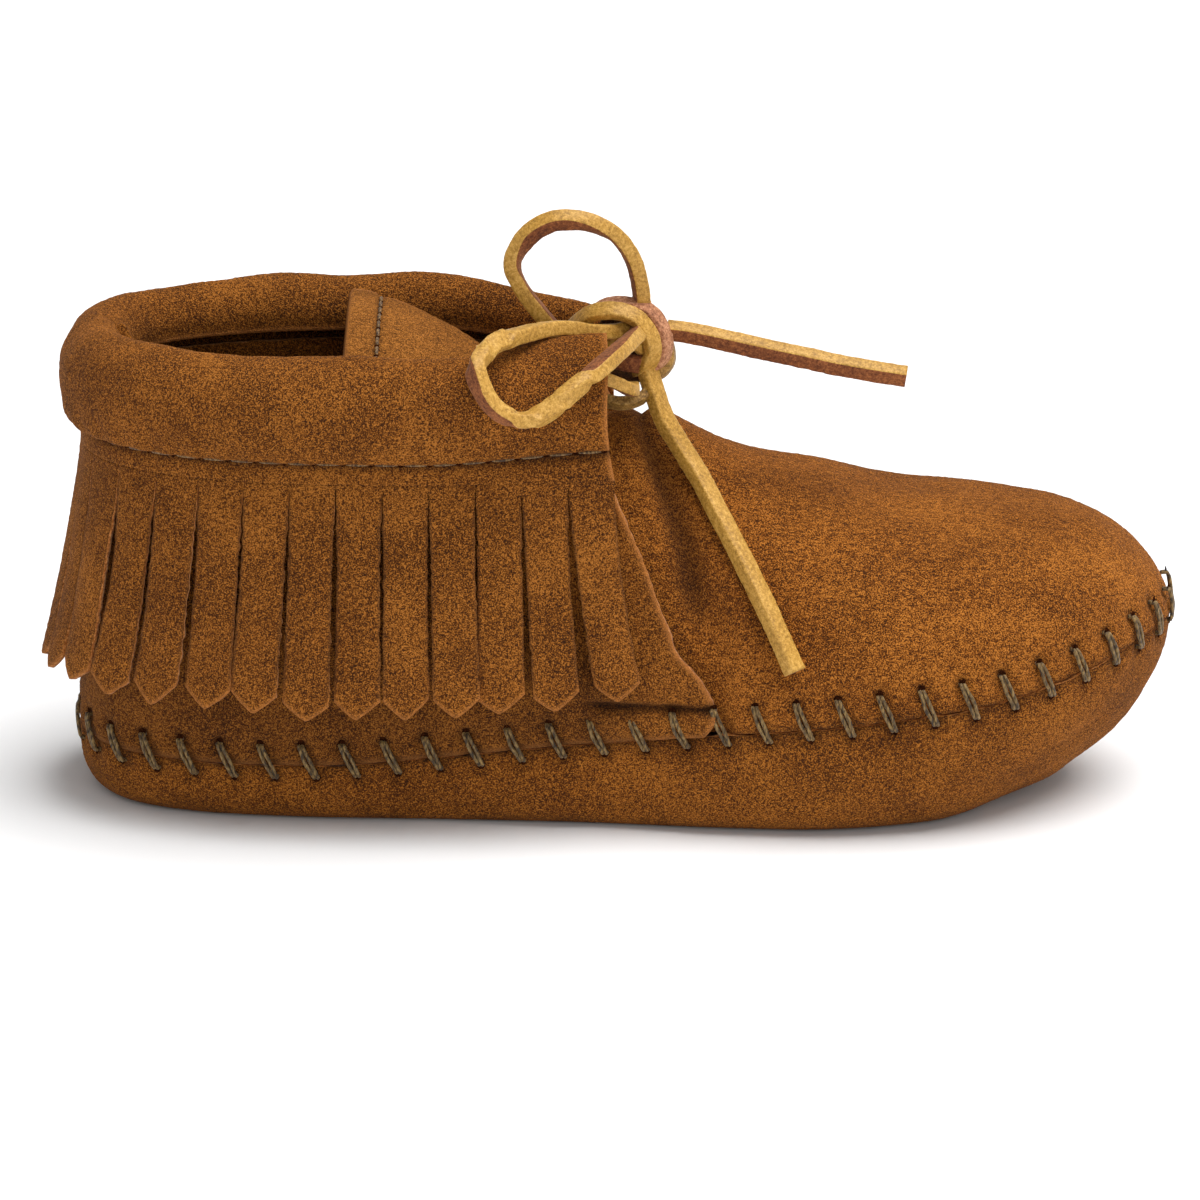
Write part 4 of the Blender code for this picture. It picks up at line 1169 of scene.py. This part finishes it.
def make_knot(core, kinds):
    """The tied knot: turns of lace over and under each other round a packed core, painted near-black as the
    shade between the turns.
    """
    for number, (kind, route) in enumerate(KNOT_TURNS):
        band, _ = lace_mesh(f"knot_turn_{number + 1}", route, away_from(KNOT_CENTRE), [(0, 0), (1, 0)],
                            kinds[kind], width=3.9, thick=2.3, step=0.5)
        ride(band, SHOE)
    lift = np.linspace(0.02, math.pi - 0.02, 40)[:, None]
    angle = np.linspace(0, 2 * math.pi, 49)[None, :]
    turn = math.radians(KNOT_TURN)
    x = KNOT_REACH[0] * np.cos(lift) * np.ones_like(angle)
    y = KNOT_REACH[1] * np.sin(lift) * np.cos(angle)
    z = KNOT_REACH[2] * np.sin(lift) * np.sin(angle)
    ahead = x * math.cos(turn) + z * math.sin(turn)
    lump = np.stack([ahead, y, z * math.cos(turn) - x * math.sin(turn)], axis=2)
    creases = 1 + 0.14 * rough(lump, 4.2, 3.0) + 0.03 * rough(lump, 1.0, 5.0)
    grid = np.array(KNOT_CENTRE) + lump * creases[..., None]
    return ride(grid_object("knot_core", grid, [core]), SHOE, "lace_knot")


def make_collar_run(materials):
    """The lace's run inside the cuff, out at both fronts and in to the knot."""
    round_collar = collar_points(np.linspace(0.003, 0.997, 34), COLLAR_RUN_HEIGHT, -1.0)
    lateral = [(5.5, -17.5, 98.5), (5, -24, 100)]
    medial = [(6.5, 1.8, 103.5), (6.5, 12, 102.5), (5, 21, 101.5)]
    route = lateral + [tuple(point) for point in round_collar] + medial[::-1]
    item, _ = lace_mesh("collar_lace", route, upward, [(0, 0), (1, 0)], materials, 3.3, 2.9, 1.2)
    return ride(item, SHOE, "lace_collar_run")


# ---- camera, light and floor

# Metres; the lens is in millimetres, for a sensor 36 mm wide.
CAMERA_PLACE = (-0.0016, -1.3315, 0.4758)
CAMERA_TARGET = (-0.0016, 0.0, 0.04315)
CAMERA_LENS = 184.2
LIGHT_TARGET = (0, 0, 0.05)
FLOOR_HALF = 4.0


def aim(item, place, target):
    item.location = place
    item.rotation_euler = (Vector(target) - Vector(place)).to_track_quat("-Z", "Y").to_euler()


def make_camera():
    data = bpy.data.cameras.new("camera")
    data.sensor_width = 36.0
    data.lens = CAMERA_LENS
    item = bpy.data.objects.new("camera", data)
    bpy.context.collection.objects.link(item)
    aim(item, CAMERA_PLACE, CAMERA_TARGET)
    bpy.context.scene.camera = item


def make_light(name, kind, place, energy, spread):
    """A lamp at a place, aimed at the shoe; spread is a disk's size or a distant lamp's angle."""
    data = bpy.data.lights.new(name, kind)
    data.energy = energy
    if kind == "SUN":
        data.angle = spread
    else:
        data.shape = "DISK"
        data.size = spread
    item = bpy.data.objects.new(name, data)
    bpy.context.collection.objects.link(item)
    aim(item, place, LIGHT_TARGET)


def make_studio():
    world = bpy.data.worlds.new("studio")
    world.use_nodes = True
    tree = world.node_tree
    place = tree.nodes.new("ShaderNodeTexCoord")
    height = tree.nodes.new("ShaderNodeSeparateXYZ")
    fade = tree.nodes.new("ShaderNodeValToRGB")
    fade.color_ramp.elements[0].position = 0.12
    fade.color_ramp.elements[0].color = (1.0, 1.0, 1.0, 1.0)
    fade.color_ramp.elements[1].position = 0.4
    fade.color_ramp.elements[1].color = (0.3, 0.3, 0.3, 1.0)
    tree.links.new(place.outputs["Generated"], height.inputs[0])
    tree.links.new(height.outputs["Z"], fade.inputs["Fac"])
    tree.links.new(fade.outputs["Color"], tree.nodes["Background"].inputs["Color"])
    bpy.context.scene.world = world
    bpy.context.scene.view_settings.view_transform = "Standard"
    make_light("overhead", "SUN", (0.3, -0.05, 1.0), 3.7, math.radians(50))
    make_light("front", "AREA", (0.3, -1.2, 0.6), 3.0, 0.8)
    half = FLOOR_HALF / MM
    corners = [(-half, -half, 0), (half, -half, 0), (half, half, 0), (-half, half, 0)]
    floor = link_mesh("floor", corners, [(0, 1, 2, 3)], [plain_floor("plain floor")])
    floor.location.z = -0.0001


# ---- the shoe


def build():
    make_camera()
    grain = rawhide("rawhide grain", (134, 96, 32), (178, 132, 52), (206, 162, 82), 0.5)
    flesh = rawhide("rawhide flesh", (76, 36, 20), (120, 66, 34), (160, 98, 54), 0.85)
    # painted shade: the knot's core is far darker than any side of the lace, standing for the shade between
    # the turns
    knot_shade = rawhide("rawhide knotted", (26, 13, 6), (66, 38, 16), (112, 74, 34), 0.8)
    rosy = rawhide("rawhide worn flesh", (112, 66, 44), (168, 112, 78), (206, 154, 118), 0.8)
    dull = rawhide("rawhide olive", (84, 58, 20), (140, 102, 42), (186, 146, 80), 0.6)
    lace = [grain, flesh]
    upper = [(7.5, -9.2, 115.2)] + UPPER_LOOP + [(-5.5, -9.8, 107.6)]
    make_cord("loop_upper", upper, away_from((-8, -12, 123)),
              [(0, 15), (0.25, 20), (0.42, 60), (0.55, 60), (0.7, 0), (1, 0)], lace)
    lower = [(5.5, -12, 110.5)] + LOWER_LOOP + [(6.2, -13, 110.0)]
    make_cord("loop_lower", lower, facing_along(lower, LOWER_LOOP_GRAIN), [(0, 0), (1, 0)], lace)
    make_cord("tail_front", [(13.5, -9.5, 109.5)] + FRONT_TAIL, upward, [(0, -60), (1, -60)], lace)
    make_cord("tail_side", [(8.8, -12.5, 102)] + SIDE_TAIL, lambda point: (0.6, -0.6, 0.6),
              [(0, 0), (1, 0)], lace)
    make_knot(knot_shade, {"gold": lace, "rosy": [rosy, flesh], "dull": [dull, flesh], "flesh": [flesh, flesh]})
    make_collar_run(lace)

    tan = suede("suede upper", (50, 25, 6), (107, 59, 13), (168, 105, 40), (1, 1, 1))
    vamp_tan = suede("suede vamp", (54, 27, 6), (116, 63, 14), (180, 112, 42), (2.2, 1, 1))
    bottom_tan = suede("suede sole", (52, 26, 6), (110, 60, 13), (172, 107, 38), (1, 1, 1))
    tongue_tan = suede("suede tongue", (62, 34, 8), (120, 70, 18), (180, 116, 48), (2, 1, 1))
    raw = cut_edge("suede cut edge")
    waxed = thread("waxed thread", (44, 30, 12), (94, 70, 33), (136, 108, 60))
    fine = thread("fine thread", (54, 36, 18), (98, 70, 36), (150, 116, 66))
    # painted shade for the stitch holes
    hole_shade = painted_hole_shade("pierced hole")
    cloth = woven("insole cloth")

    make_sole(bottom_tan, raw)
    make_footbed(cloth)
    make_vamp(vamp_tan, raw)
    make_quarter(tan, raw)
    make_cuff(tan, raw)
    make_band(tan)
    for number in range(STRIP_COUNT):
        make_strip(number, tan, raw)
    make_tongue(tongue_tan, raw)
    make_whip_stitches(waxed, hole_shade)
    make_collar_stitches(fine, hole_shade)
    make_tongue_stitches(fine, hole_shade)
    make_studio()


build()
